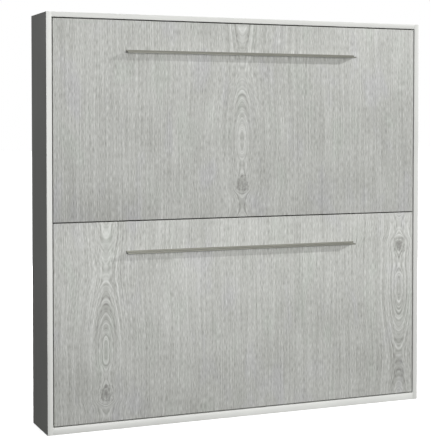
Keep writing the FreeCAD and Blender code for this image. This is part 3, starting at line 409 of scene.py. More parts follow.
        # the last layer, the short fibres, is also what makes the gloss uneven
        self.gloss(tree, shader, layer, (-0.3, 0.3), (0.07, -0.07))
        for figure in self.figures:
            dark = self.knot(tree, straight_x, z, figure)
            total = add(tree, "Math", {0: dark, 1: -self.knot_dark, 2: total}, operation="MULTIPLY_ADD")
        level = add(tree, "Math", {0: total, 1: 0.5}, operation="ADD", use_clamp=True)
        wood = shaped(add(tree, "ValToRGB", {0: level}), [
            (0.05, "#8f8e8b"), (0.33, "#acada8"), (0.5, "#bbbcb8"), (0.68, "#c9cac6"), (0.95, "#dcddda")])
        hue = add(tree, "Mapping", {0: place, 3: (7.0, 7.0, 3.0)})
        hue = add(tree, "TexNoise", {"Vector": hue, "Scale": 1.0, "Detail": 2.0, "Distortion": 0.4})
        tint = shaped(add(tree, "ValToRGB", {0: hue}), [
            (0.30, "#b9c1b9"), (0.44, "#bdbdbb"), (0.56, "#bdbdbb"), (0.70, "#bfbdc9")])
        mixed = add(tree, "Mix", {0: 0.5, 6: wood, 7: tint}, out=2, data_type="RGBA",
                    blend_type="SOFT_LIGHT")
        tree.links.new(mixed, shader.inputs["Base Color"])
        self.relief(tree, shader, total, 0.0006, 0.5)


@dataclass(frozen=True)
class Melamine(Finish):
    """Melamine-faced chipboard with a pearl emboss: a faint cloudy tone and a fine low relief."""

    emboss: float = 0.0022

    def dress(self, tree: NodeTree, shader: Node, place: NodeSocket) -> None:
        """Add the cloud, the emboss, drawn coarse enough to show, and uneven gloss from handling.

        Args:
            tree: the material's node tree.
            shader: its surface shader.
            place: the place on the piece, in metres.
        """
        cloud = add(tree, "TexNoise", {"Vector": place, "Scale": 3.0, "Detail": 4.0})
        self.tint(tree, shader, cloud, (0.3, 0.7), (0.96, 1.03))
        self.gloss(tree, shader, cloud, (0.3, 0.7), (-0.05, 0.07))
        pearl = add(tree, "TexNoise", {"Vector": place, "Scale": 1 / self.emboss, "Detail": 1.0})
        self.relief(tree, shader, pearl, 0.00012, 0.6)


@dataclass(frozen=True)
class Hardboard(Finish):
    """High-density fibreboard with a thin white lacquer: short fibres show through as flecks."""

    def dress(self, tree: NodeTree, shader: Node, place: NodeSocket) -> None:
        """Scatter 4 mm fibre flecks over a cloudy ground.

        Args:
            tree: the material's node tree.
            shader: its surface shader.
            place: the place on the piece, in metres.
        """
        stretched = add(tree, "Mapping", {0: place, 3: (160.0, 160.0, 260.0)})
        fleck = add(tree, "TexNoise", {"Vector": stretched, "Scale": 1.0, "Detail": 3.0, "Distortion": 1.2})
        cloud = add(tree, "TexNoise", {"Vector": place, "Scale": 4.0, "Detail": 3.0})
        both = add(tree, "Math", {0: fleck, 1: 0.85}, operation="MULTIPLY")
        both = add(tree, "Math", {0: cloud, 1: 0.15, 2: both}, operation="MULTIPLY_ADD")
        self.tone(tree, shader, both, [(0.30, "#a9a59c"), (0.46, self.colour), (0.7, "#cfcdc6")])
        self.relief(tree, shader, fleck, 0.0002, 0.5)


@dataclass(frozen=True)
class PowderCoat(Finish):
    """Powder-coated steel tube and plate: an even colour over a fine orange-peel skin."""

    def dress(self, tree: NodeTree, shader: Node, place: NodeSocket) -> None:
        """Add the 1.6 mm orange peel and slightly uneven gloss.

        Args:
            tree: the material's node tree.
            shader: its surface shader.
            place: the place on the piece, in metres.
        """
        peel = add(tree, "TexNoise", {"Vector": place, "Scale": 620.0, "Detail": 1.0})
        cloud = add(tree, "TexNoise", {"Vector": place, "Scale": 14.0, "Detail": 3.0})
        self.gloss(tree, shader, cloud, (0.3, 0.7), (-0.06, 0.08))
        self.tint(tree, shader, cloud, (0.25, 0.75), (0.93, 1.04))
        self.relief(tree, shader, peel, 0.00008, 0.7)


@dataclass(frozen=True)
class ZincPlate(Finish):
    """Bright zinc plating on steel: bluish metal with soft spangle and dull handling marks."""

    metallic: float = 1.0

    def dress(self, tree: NodeTree, shader: Node, place: NodeSocket) -> None:
        """Add a 6 mm spangle in tone and gloss, and fine draw marks in relief.

        Args:
            tree: the material's node tree.
            shader: its surface shader.
            place: the place on the piece, in metres.
        """
        spangle = add(tree, "TexVoronoi", {"Vector": place, "Scale": 170.0}, out="Distance")
        cloud = add(tree, "TexNoise", {"Vector": place, "Scale": 45.0, "Detail": 4.0})
        blend = add(tree, "Math", {0: spangle, 1: 0.25, 2: cloud}, operation="MULTIPLY_ADD")
        self.tone(tree, shader, blend, [(0.35, "#8f9398"), (0.55, self.colour), (0.8, "#d3d5d6")])
        self.gloss(tree, shader, blend, (0.35, 0.8), (0.12, -0.08))
        self.relief(tree, shader, cloud, 0.00015, 0.4)


@dataclass(frozen=True)
class BrushedMetal(Finish):
    """Metal with a fine line finish along one axis, such as anodised or ground bar."""

    metallic: float = 1.0
    lines: tuple[float, float, float] = (4.0, 900.0, 900.0)
    dark: str = "#7a7a71"
    light: str = "#9f9f95"

    def dress(self, tree: NodeTree, shader: Node, place: NodeSocket) -> None:
        """Draw the lines, 1 mm apart so that they show, in tone, gloss and relief.

        Args:
            tree: the material's node tree.
            shader: its surface shader.
            place: the place on the piece, in metres.
        """
        scaled = add(tree, "Mapping", {0: place, 3: self.lines})
        line = add(tree, "TexNoise", {"Vector": scaled, "Scale": 1.0, "Detail": 3.0, "Roughness": 0.6})
        self.tone(tree, shader, line, [(0.3, self.dark), (0.5, self.colour), (0.72, self.light)])
        self.gloss(tree, shader, line, (0.3, 0.7), (0.08, -0.06))
        self.relief(tree, shader, line, 0.00006, 0.6)


@dataclass(frozen=True)
class Moulded(Finish):
    """Injection-moulded nylon or rubber: an even colour, a spark-eroded texture and dusty scuffs."""

    texture: float = 0.0012
    scuff: str = "#77787a"

    def dress(self, tree: NodeTree, shader: Node, place: NodeSocket) -> None:
        """Add the mould texture and pale scuffs.

        Args:
            tree: the material's node tree.
            shader: its surface shader.
            place: the place on the piece, in metres.
        """
        spark = add(tree, "TexNoise", {"Vector": place, "Scale": 1 / self.texture, "Detail": 1.0})
        rub = add(tree, "TexNoise", {"Vector": place, "Scale": 38.0, "Detail": 6.0, "Roughness": 0.7})
        self.tone(tree, shader, rub, [(0.45, self.colour), (0.62, self.colour), (0.85, self.scuff)])
        self.gloss(tree, shader, rub, (0.35, 0.7), (-0.05, 0.12))
        self.relief(tree, shader, spark, 0.0001, 0.6)


@dataclass(frozen=True)
class Beech(Finish):
    """Bent beech veneer with a clear lacquer: pale pinkish brown with short dark ray flecks."""

    def dress(self, tree: NodeTree, shader: Node, place: NodeSocket) -> None:
        """Lay long fibres, 6 mm ray flecks and the veneers' glue lines across the thickness.

        Args:
            tree: the material's node tree.
            shader: its surface shader.
            place: the place on the piece, in metres.
        """
        long_way = add(tree, "Mapping", {0: place, 3: (160.0, 700.0, 5.0)})
        fibre = add(tree, "TexNoise", {"Vector": long_way, "Scale": 1.0, "Detail": 3.0, "Distortion": 0.3})
        short_way = add(tree, "Mapping", {0: place, 3: (700.0, 700.0, 130.0)})
        fleck = add(tree, "TexNoise", {"Vector": short_way, "Scale": 1.0, "Detail": 1.0})
        fleck = add(tree, "MapRange", {0: fleck, 1: 0.60, 2: 0.72, 3: 0.0, 4: 0.35})
        tone = add(tree, "TexNoise", {"Vector": place, "Scale": 4.0, "Detail": 2.0})
        blend = add(tree, "Math", {0: fibre, 1: 0.65}, operation="MULTIPLY")
        blend = add(tree, "Math", {0: tone, 1: 0.35, 2: blend}, operation="MULTIPLY_ADD")
        blend = add(tree, "Math", {0: blend, 1: fleck}, operation="SUBTRACT")
        self.tone(tree, shader, blend, [
            (0.1, "#8f6a45"), (0.35, "#bf9769"), (0.5, self.colour), (0.68, "#e4c79f")])
        self.relief(tree, shader, fibre, 0.00012, 0.5)


@dataclass(frozen=True)
class StretchKnit(Finish):
    """Quilted stretch knit on a mattress: off-white cotton, rows of loops and a tonal leaf jacquard."""

    row: float = 0.0032

    def dress(self, tree: NodeTree, shader: Node, place: NodeSocket) -> None:
        """Knit 3 mm rows, coarser than real loops so that they show, with a soft sheen.

        Args:
            tree: the material's node tree.
            shader: its surface shader.
            place: the place on the piece, in metres.
        """
        shader.inputs["Sheen Weight"].default_value = 0.35
        shader.inputs["Sheen Roughness"].default_value = 0.5
        loops = [add(tree, "TexWave", {"Vector": place, "Scale": wave_scale(size), "Distortion": 0.6,
                                       "Detail": 1.0, "Detail Scale": 6.0},
                     out="Fac", bands_direction=direction)
                 for direction, size in (("X", self.row), ("Z", self.row * 0.8), ("Y", self.row))]
        knit = add(tree, "Math", {0: loops[0], 1: loops[1]}, operation="MULTIPLY")
        knit = add(tree, "Math", {0: knit, 1: loops[2]}, operation="ADD")
        jacquard = add(tree, "TexVoronoi", {"Vector": place, "Scale": 24.0, "Smoothness": 0.4},
                       out="Distance", feature="SMOOTH_F1")
        leaf = add(tree, "MapRange", {0: jacquard, 1: 0.35, 2: 0.45, 3: 0.0, 4: 1.0})
        fuzz = add(tree, "TexNoise", {"Vector": place, "Scale": 90.0, "Detail": 4.0})
        blend = add(tree, "Math", {0: leaf, 1: 0.22}, operation="MULTIPLY")
        blend = add(tree, "Math", {0: fuzz, 1: 0.5, 2: blend}, operation="MULTIPLY_ADD")
        blend = add(tree, "Math", {0: knit, 1: 0.12, 2: blend}, operation="MULTIPLY_ADD")
        self.tone(tree, shader, blend, [(0.25, "#c9c6bd"), (0.45, self.colour), (0.75, "#f2f0ea")])
        self.relief(tree, shader, knit, 0.0006, 0.35)


@dataclass(frozen=True)
class Webbing(Finish):
    """Woven polyester webbing: lengthwise ribs with a fine crossing weft, and worn paler in places."""

    rib: float = 0.0035

    def dress(self, tree: NodeTree, shader: Node, place: NodeSocket) -> None:
        """Weave ribs across the band's width; they run along x on every face of the band.

        Args:
            tree: the material's node tree.
            shader: its surface shader.
            place: the place on the piece, in metres.
        """
        ribs = add(tree, "TexWave", {"Vector": place, "Scale": wave_scale(self.rib), "Distortion": 0.2},
                   out="Fac", bands_direction="X")
        wefts = [add(tree, "TexWave", {"Vector": place, "Scale": wave_scale(self.rib * 0.7),
                                       "Distortion": 0.4}, out="Fac", bands_direction=direction)
                 for direction in ("Z", "Y")]
        weave = add(tree, "Math", {0: wefts[0], 1: wefts[1]}, operation="MAXIMUM")
        weave = add(tree, "Math", {0: ribs, 1: weave}, operation="MULTIPLY")
        worn = add(tree, "TexNoise", {"Vector": place, "Scale": 30.0, "Detail": 4.0})
        blend = add(tree, "Math", {0: worn, 1: 0.5, 2: weave}, operation="MULTIPLY_ADD")
        self.tone(tree, shader, blend, [(0.1, "#26282b"), (0.5, self.colour), (1.0, "#5b5f64")])
        self.relief(tree, shader, weave, 0.0005, 0.7)


@dataclass(frozen=True)
class StudioFloor(Finish):
    """Matt white studio floor, lit from below so that it stays white, with the faintest unevenness."""

    glow: float = 0.62

    def dress(self, tree: NodeTree, shader: Node, place: NodeSocket) -> None:
        """Add the glow and a slow change of tone over metres.

        Args:
            tree: the material's node tree.
            shader: its surface shader.
            place: the place on the piece, in metres.
        """
        shader.inputs["Specular IOR Level"].default_value = 0.1
        shader.inputs["Emission Color"].default_value = linear("#ffffff")
        shader.inputs["Emission Strength"].default_value = self.glow
        slow = add(tree, "TexNoise", {"Vector": place, "Scale": 0.6, "Detail": 2.0})
        self.tone(tree, shader, slow, [(0.3, "#f3f3f2"), (0.7, self.colour)])


WHITE_BOARD = Melamine("white_melamine_board", "#dedfdb", roughness=0.5)
WHITE_EDGING = Melamine("abs_edge_band", "#e2e3df", roughness=0.42, emboss=0.0012)
BACK_BOARD = Hardboard("lacquered_hardboard", "#bdbab2", roughness=0.62)
STEEL_COAT = PowderCoat("powder_coated_steel", "#c4c6c7", roughness=0.42)
ZINC = ZincPlate("zinc_plated_steel", "#b4b8bc", roughness=0.32)
HANDLE = BrushedMetal("anodised_aluminium_bronze", "#8c8c83", roughness=0.45, metallic=0.4)
LADDER_METAL = BrushedMetal("anodised_aluminium_clear", "#b9bbbc", roughness=0.34, dark="#9c9fa1",
                            light="#d0d2d3")
CHROME = BrushedMetal("hard_chrome_rod", "#d2d4d6", roughness=0.14, lines=(900.0, 900.0, 900.0),
                      dark="#c3c5c8", light="#dfe1e2")
STRUT_PAINT = PowderCoat("black_lacquered_tube", "#1d1e20", roughness=0.3)
NYLON = Moulded("moulded_nylon", "#3a3c3f", roughness=0.45)
PALE_NYLON = Moulded("moulded_nylon_pale", "#d4d4cf", roughness=0.45, scuff="#b9b9b3")
RUBBER = Moulded("moulded_rubber", "#232425", roughness=0.72, texture=0.0018, scuff="#4a4a4b")
SLAT = Beech("lacquered_beech", "#d3ae7f", roughness=0.38)
KNIT = StretchKnit("quilted_stretch_knit", "#e6e4dd", roughness=0.9)
PIPING = StretchKnit("piping_tape", "#b7bcc0", roughness=0.8, row=0.0018)
STRAP = Webbing("polyester_webbing", "#3d4146", roughness=0.85)
FLOOR = StudioFloor("painted_floor", "#f8f8f8", roughness=0.8)


# ---------------------------------------------------------------- shapes
@dataclass(frozen=True)
class Box:
    """An upright box in the cabinet's frame, in metres."""

    low: Vector
    high: Vector

    @property
    def centre(self) -> Vector:
        """The box's middle."""
        return (self.low + self.high) / 2

    @property
    def size(self) -> Vector:
        """The box's extent along x, y and z."""
        return self.high - self.low

    @property
    def inward(self) -> int:
        """The way along x to the cabinet's middle: 1 where the box is left of it, -1 where it is right."""
        return -1 if self.centre.x > 0 else 1

    @property
    def outer_x(self) -> float:
        """The x of the box's side that is away from the cabinet's middle."""
        return self.low.x if self.inward > 0 else self.high.x

    @property
    def inner_x(self) -> float:
        """The x of the box's side that faces the cabinet's middle."""
        return self.high.x if self.inward > 0 else self.low.x


def box_of(node: str) -> Box:
    """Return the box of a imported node."""
    return Box(*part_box(node))


def solids_of(node: str) -> list[Box]:
    """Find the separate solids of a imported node.

    Args:
        node: the node's name.

    Returns:
        One box for each solid, in order of x, then z.
    """
    bm = bmesh.new()
    bm.from_mesh(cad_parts[node].data)
    bmesh.ops.remove_doubles(bm, verts=bm.verts, dist=1e-5)
    seen: set[BMVert] = set()
    found = []
    for start in bm.verts:
        if start in seen:
            continue
        seen.add(start)
        island, ahead = [], [start]
        while ahead:
            vert = ahead.pop()
            island.append(vert.co.copy())
            near = [edge.other_vert(vert) for edge in vert.link_edges]
            fresh = [other for other in near if other not in seen]
            seen.update(fresh)
            ahead.extend(fresh)
        found.append(Box(Vector(map(min, *island)), Vector(map(max, *island))))
    bm.free()
    return sorted(found, key=lambda b: (round(b.centre.x, 4), round(b.centre.z, 4), b.centre.y))


def aimed(at: Vector, along: Vector) -> Matrix:
    """Return the placing that carries the origin to a point and the z axis to a direction."""
    return Matrix.Translation(at) @ along.to_track_quat("Z", "Y").to_matrix().to_4x4()


def rounded(bm: BMesh, edges: list[BMEdge], radius: float, segments: int) -> None:
    """Round some edges of a shape.

    Args:
        bm: the shape.
        edges: the edges.
        radius: their rounding.
        segments: the rounding's steps.
    """
    bmesh.ops.bevel(bm, geom=edges, offset=radius, affect="EDGES", segments=segments, profile=0.5,
                    material=-1)


def block(low: Vector, high: Vector, radius: float, segments: int = 2) -> BMesh:
    """Make a box with rounded edges.

    Args:
        low: its lowest corner.
        high: its highest corner.
        radius: the edges' rounding.
        segments: the rounding's steps.

    Returns:
        The new shape.
    """
    bm = bmesh.new()
    bmesh.ops.create_cube(bm, size=1.0)
    bmesh.ops.scale(bm, vec=high - low, verts=bm.verts)
    bmesh.ops.translate(bm, vec=(low + high) / 2, verts=bm.verts)
    rounded(bm, bm.edges[:], radius, segments)
    return bm


def rectangle(low: Vector, high: Vector) -> list[tuple[float, float]]:
    """Return the corners, in x and z, of the face between two corners."""
    return [(low.x, low.z), (high.x, low.z), (high.x, high.z), (low.x, high.z)]


def prism(outline: list[tuple[float, float]], axis: Vector, start: float, end: float, radius: float,
          segments: int = 2) -> BMesh:
    """Extrude an outline along a main axis and round the edges that run along it.

    Args:
        outline: corners in the plane across the axis, as its two other coordinates in order.
        axis: the axis to extrude along.
        start: where the shape begins on the axis.
        end: where it ends.
        radius: the long edges' rounding.
        segments: the rounding's steps.

    Returns:
        The new shape.
    """
    bm = bmesh.new()
    free = [i for i in range(3) if not axis[i]]
    corners = []
    for u, v in outline:
        corner = axis * start
        corner[free[0]], corner[free[1]] = u, v
        corners.append(bm.verts.new(corner))
    face = bm.faces.new(corners)
    grown = bmesh.ops.extrude_face_region(bm, geom=[face])["geom"]
    bmesh.ops.translate(bm, vec=axis * (end - start), verts=[g for g in grown if isinstance(g, BMVert)])
    bmesh.ops.recalc_face_normals(bm, faces=bm.faces)
    sides = [e for e in bm.edges if abs((e.verts[0].co - e.verts[1].co).normalized().dot(axis)) > 0.99]
    rounded(bm, sides, radius, segments)
    return bm


def turned(profile: list[tuple[float, float]], at: Vector, along: Vector, steps: int = 24) -> BMesh:
    """Turn a profile about an axis, as on a lathe.

    Args:
        profile: radius and height of each corner, from one end to the other.
        at: where the axis starts.
        along: the axis's direction.
        steps: how many sides the round has.

    Returns:
        The new shape.
    """
    bm = bmesh.new()
    verts = [bm.verts.new((radius, 0, height)) for radius, height in profile]
    edges = [bm.edges.new(pair) for pair in zip(verts, verts[1:])]
    bmesh.ops.spin(bm, geom=verts + edges, cent=(0, 0, 0), axis=(0, 0, 1), dvec=(0, 0, 0), angle=math.tau,
                   steps=steps, use_merge=True, use_duplicate=False)
    bmesh.ops.remove_doubles(bm, verts=bm.verts, dist=1e-6)
    bmesh.ops.recalc_face_normals(bm, faces=bm.faces)
    bm.transform(aimed(at, along))
    return bm


class Drive(Enum):
    """The shape of a screw's recess."""

    CROSS = "cross"
    HEX = "hex"

    def reach(self, angle: float) -> float:
        """Work out how far the recess reaches.

        Args:
            angle: the angle round the screw.

        Returns:
            The reach, as a share of the radius of the recess's corners.
        """
        if self is Drive.HEX:
            return math.cos(math.pi / 6) / math.cos(angle % (math.pi / 3) - math.pi / 6)
        arm_half_angle, between_arms = 0.2, 0.42
        off_arm = abs((angle + math.pi / 4) % (math.pi / 2) - math.pi / 4)
        return 1.0 if off_arm < arm_half_angle else between_arms


def screw_head(at: Vector, along: Vector, radius: float, height: float, drive: Drive) -> BMesh:
    """Make a domed screw head with its recess.

    Args:
        at: the middle of the surface that the head lies on.
        along: the way the head faces.
        radius: the head's radius.
        height: how far it stands up.
        drive: the recess's shape.

    Returns:
        The new shape.
    """
    hole = radius * 0.46
    profile = [(0, height * 0.3), (hole * 0.9, height * 0.3), (hole, height * 0.98), (radius * 0.62, height),
               (radius * 0.86, height * 0.82), (radius * 0.98, height * 0.45), (radius, 0), (0, 0)]
    bm = turned(profile, Vector(), UP)
    for vert in bm.verts:
        across = vert.co.to_2d()
        if 1e-6 < across.length < hole * 1.05:
            vert.co.xy = across * drive.reach(math.atan2(across.y, across.x))
    bm.transform(aimed(at, along))
    return bm


def stand(name: str, data: ID | None) -> Object:
    """Make an object and link it to the scene.

    Args:
        name: the object's name.
        data: its mesh, curve, light or camera.

    Returns:
        The new object.
    """
    made = bpy.data.objects.new(name, data)
    bpy.context.scene.collection.objects.link(made)
    return made


def evaluated(made: Object) -> Mesh:
    """Return a new mesh of what an object's modifiers or its curve's settings make."""
    graph = bpy.context.evaluated_depsgraph_get()
    return bpy.data.meshes.new_from_object(made.evaluated_get(graph))


class Form:
    """A piece in the making: shapes gathered in one mesh, each with its own finish.

    Attributes:
        crease: edges sharper than this angle, in degrees, stay sharp.
    """

    crease: float = 32.0

    def __init__(self, *finishes: Finish) -> None:
        """Start an empty piece.

        Args:
            finishes: the finishes that its shapes choose from by number.
        """
        self.bm = bmesh.new()
        self.finishes = finishes

    def take(self, part: BMesh, finish: int = 0) -> "Form":
        """Add a shape to the piece.

        Args:
            part: the shape, which is used up.
            finish: the number of its finish.

        Returns:
            The piece, so that calls can be chained.
        """
        for face in part.faces:
            face.material_index = finish
        mesh = bpy.data.meshes.new("part")
        part.to_mesh(mesh)
        part.free()
        self.bm.from_mesh(mesh)
        bpy.data.meshes.remove(mesh)
        return self

    def place(self, name: str, body: str, slot: str, *nodes: str) -> Object:
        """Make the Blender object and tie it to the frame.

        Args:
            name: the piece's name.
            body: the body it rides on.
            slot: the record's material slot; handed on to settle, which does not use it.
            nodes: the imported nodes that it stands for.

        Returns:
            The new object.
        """
        mesh = bpy.data.meshes.new(name)
        self.bm.to_mesh(mesh)
        self.bm.free()
        for finish in self.finishes:
            mesh.materials.append(finish.material())
        mesh.shade_smooth()
        mesh.set_sharp_from_angle(angle=math.radians(self.crease))
        return settle(stand(name, mesh), body, slot, *nodes)


def settle(made: Object, body: str, slot: str, *nodes: str) -> Object:
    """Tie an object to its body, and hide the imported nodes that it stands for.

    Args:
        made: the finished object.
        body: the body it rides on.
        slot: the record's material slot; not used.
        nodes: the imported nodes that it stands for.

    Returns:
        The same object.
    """
    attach(made, body)
    if nodes:
        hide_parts(*nodes)
    log.info("%s on %s: %d faces", made.name, body, len(made.data.polygons))
    return made


def dress(finish: Finish, *nodes: str) -> None:
    """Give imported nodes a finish.

    Args:
        finish: the finish.
        nodes: the nodes' names.
    """
    for node in nodes:
        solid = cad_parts[node]
        if not solid.material_slots:
            solid.data.materials.append(None)
        for material_slot in solid.material_slots:
            material_slot.material = finish.material()
        log.info("%s dressed with %s", node, finish.name)


# ---------------------------------------------------------------- the cabinet
@dataclass
class Cabinet:
    """The fixed case: edged boards, hardboard backs, and the fittings on them.

    Attributes:
        body: the body that the case rides on.
        edging: the edge band's thickness.
        edge_radius: the band's rounding.
        board_radius: the board's own rounding.
        cam_radius: the cam covers' radius.
        cam_inset: how far the covers' middles are from the side panels.
        cam_shares: where they are in the boards' depth.
        back_screw_rise: how far the back panels' screw heads stand up.
        plate_screw_rise: how far the pivot plates' screw heads stand up.
        angle_screw: the radius and rise of the corner angles' screw heads.
        catch_screw: the same for the catches' screw heads.
        buffer_foot: the thickness of a stop's steel foot.
        buffer_ribs: a stop's ribs and the grooves between them.
        buffer_groove: the grooves' depth.
        catch_step: how far the catch's pole strips stand off its case.
        pole_half: half a pole strip's thickness.
        pole_depth: the strips' depth.
        pole_margin: how far the strips stop short of the case's ends.
        angle_thickness: the thickness of a corner angle.
    """

    body: str = "cabinet"
    edging: float = 0.002
    edge_radius: float = 0.0007
    board_radius: float = 0.0003
    cam_radius: float = 0.0085
    cam_inset: float = 0.034
    cam_shares: tuple[float, float] = (0.28, 0.86)
    back_screw_rise: float = 0.0018
    plate_screw_rise: float = 0.0012
    angle_screw: tuple[float, float] = (0.004, 0.0016)
    catch_screw: tuple[float, float] = (0.0038, 0.0016)
    buffer_foot: float = 0.002
    buffer_ribs: int = 5
    buffer_groove: float = 0.0009
    catch_step: float = 0.0012
    pole_half: float = 0.0016
    pole_depth: float = 0.004
    pole_margin: float = 0.006
    angle_thickness: float = 0.003

    def edged_board(self, name: str) -> None:
        """Stand a melamine board with a banded front edge in the place of a packed board.

        Args:
            name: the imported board's name.
        """
        box = box_of(name)
        form = Form(WHITE_BOARD, WHITE_EDGING)
        front = box.low.y + self.edging
        form.take(block(Vector((box.low.x, front, box.low.z)), box.high, self.board_radius, 1))
        form.take(block(box.low, Vector((box.high.x, front, box.high.z)), self.edge_radius), 1)
        form.place(name + "_board", self.body, "carcass_board", name)

    def cam_covers(self) -> None:
        """Snap a round cover over each cam fitting, inside the top, the bottom and the shelf."""
        form = Form(PALE_NYLON)
        walls = box_of("left_side_panel").inner_x, box_of("right_side_panel").inner_x
        r = self.cam_radius
        disc = [(0, 0.0002), (r * 0.25, 0.0002), (r * 0.3, 0.0009), (r * 0.85, 0.0012), (r, 0.0004), (r, 0)]
        for name, way in (("top_panel", -1), ("bottom_panel", 1), ("middle_shelf", -1)):
            box = box_of(name)
            z = box.low.z if way < 0 else box.high.z
            for wall, inward in zip(walls, (1, -1)):
                for share in self.cam_shares:
                    at = Vector((wall + inward * self.cam_inset, box.low.y + box.size.y * share, z))
                    form.take(turned(disc, at, UP * way, 20))
        form.place("cam_covers", self.body, "nylon")

    def screws(self) -> None:
        """Put a crosshead on each back panel screw and a socket head on each pivot plate screw."""
        form = Form(ZINC)
        rise = self.back_screw_rise
        for box in solids_of("back_panel_screws"):
            at = Vector((box.centre.x, box.high.y - rise, box.centre.z))
            form.take(screw_head(at, FRONT_BACK, box.size.x / 2, rise, Drive.CROSS))
        form.place("back_panel_screw_heads", self.body, "zinc_steel", "back_panel_screws")
        form = Form(ZINC)
        rise = self.plate_screw_rise
        for box in solids_of("plate_screws"):
            at = Vector((box.inner_x - box.inward * rise, box.centre.y, box.centre.z))
            form.take(screw_head(at, LEFT_RIGHT * box.inward, box.size.y / 2, rise, Drive.HEX))
        form.place("plate_screw_heads", self.body, "zinc_steel", "plate_screws")

    def buffers(self) -> None:
        """Model the rubber stops: a ribbed block on a steel foot."""
        form = Form(RUBBER, ZINC)
        for box in solids_of("stop_buffers"):
            wall, top = box.outer_x, box.outer_x + box.inward * self.buffer_foot
            foot = sorted((wall, top))
            form.take(block(Vector((foot[0], box.low.y, box.low.z)),
                            Vector((foot[1], box.high.y, box.high.z)), 0.0005, 1), 1)
            rib = box.size.y / self.buffer_ribs
            for i in range(self.buffer_ribs):
                shrink = self.buffer_groove if i % 2 else 0.0
                ends = sorted((top, wall + box.inward * (box.size.x - shrink)))
                form.take(block(Vector((ends[0], box.low.y + rib * i, box.low.z + shrink)),
                                Vector((ends[1], box.low.y + rib * (i + 1), box.high.z - shrink)), 0.0008))
        form.place("stop_buffer_blocks", self.body, "rubber", "stop_buffers")

    def catches(self) -> None:
        """Model the magnetic catches: a nylon case with two pole strips and two screws."""
        form = Form(PALE_NYLON, ZINC)
        for box in solids_of("magnetic_catches"):
            form.take(block(box.low + Vector((0, self.catch_step, 0)), box.high, 0.0015, 3))
            low, high = box.low.z + self.pole_margin, box.high.z - self.pole_margin
            for share in (0.3, 0.7):
                x = box.low.x + box.size.x * share
                strip = block(Vector((x - self.pole_half, box.low.y, low)),
                              Vector((x + self.pole_half, box.low.y + self.pole_depth, high)), 0.0003, 1)
                form.take(strip, 1)
            for share in (0.2, 0.8):
                at = Vector((box.inner_x - box.inward * 0.0003, box.centre.y, box.low.z + box.size.z * share))
                form.take(screw_head(at, LEFT_RIGHT * box.inward, *self.catch_screw, Drive.CROSS), 1)
        form.place("magnetic_catch_cases", self.body, "nylon", "magnetic_catches")

    def angle_screws(self) -> None:
        """Put two screws in each leg of the corner angles."""
        form = Form(ZINC)
        thickness = self.angle_thickness
        for box in solids_of("corner_angles"):
            hung = box.centre.z > box_of("top_panel").low.z - box.size.z
            flat, up = (box.high.z - thickness, -1) if hung else (box.low.z + thickness, 1)
            for share in (0.25, 0.75):
                y = box.low.y + box.size.y * share
                upright = Vector((box.outer_x + box.inward * thickness, y, box.centre.z))
                level = Vector((box.centre.x, y, flat))
                for at, way in ((upright, LEFT_RIGHT * box.inward), (level, UP * up)):
                    form.take(screw_head(at, way, *self.angle_screw, Drive.CROSS))
        form.place("corner_angle_screws", self.body, "zinc_steel")

    def build(self) -> None:
        """Build and dress the whole case."""
        for name in ("left_side_panel", "right_side_panel", "top_panel", "bottom_panel", "middle_shelf"):
            self.edged_board(name)
        self.cam_covers()
        self.screws()
        self.buffers()
        self.catches()
        self.angle_screws()
        dress(BACK_BOARD, "lower_back_panel", "upper_back_panel")
        dress(WHITE_BOARD, "wall_rail")
        dress(ZINC, "corner_angles", "strut_anchor_studs")
        dress(STEEL_COAT, "pivot_plates", "ladder_wall_hooks")
        dress(NYLON, "pivot_bushes")


# ---------------------------------------------------------------- the beds
class Level(Enum):
    """Which of the two beds a piece belongs to."""

    LOWER = "lower"
    UPPER = "upper"

    @property
    def body(self) -> str:
        """The body that the bed's pieces ride on."""
        return self.value + "_bed"

    def node(self, name: str) -> str:
        """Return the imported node's name for this bed."""
        return f"{self.value}_{name}"


def clamped(value: float) -> float:
    """Return a value held between 0 and 1."""
    return min(1.0, max(0.0, value))


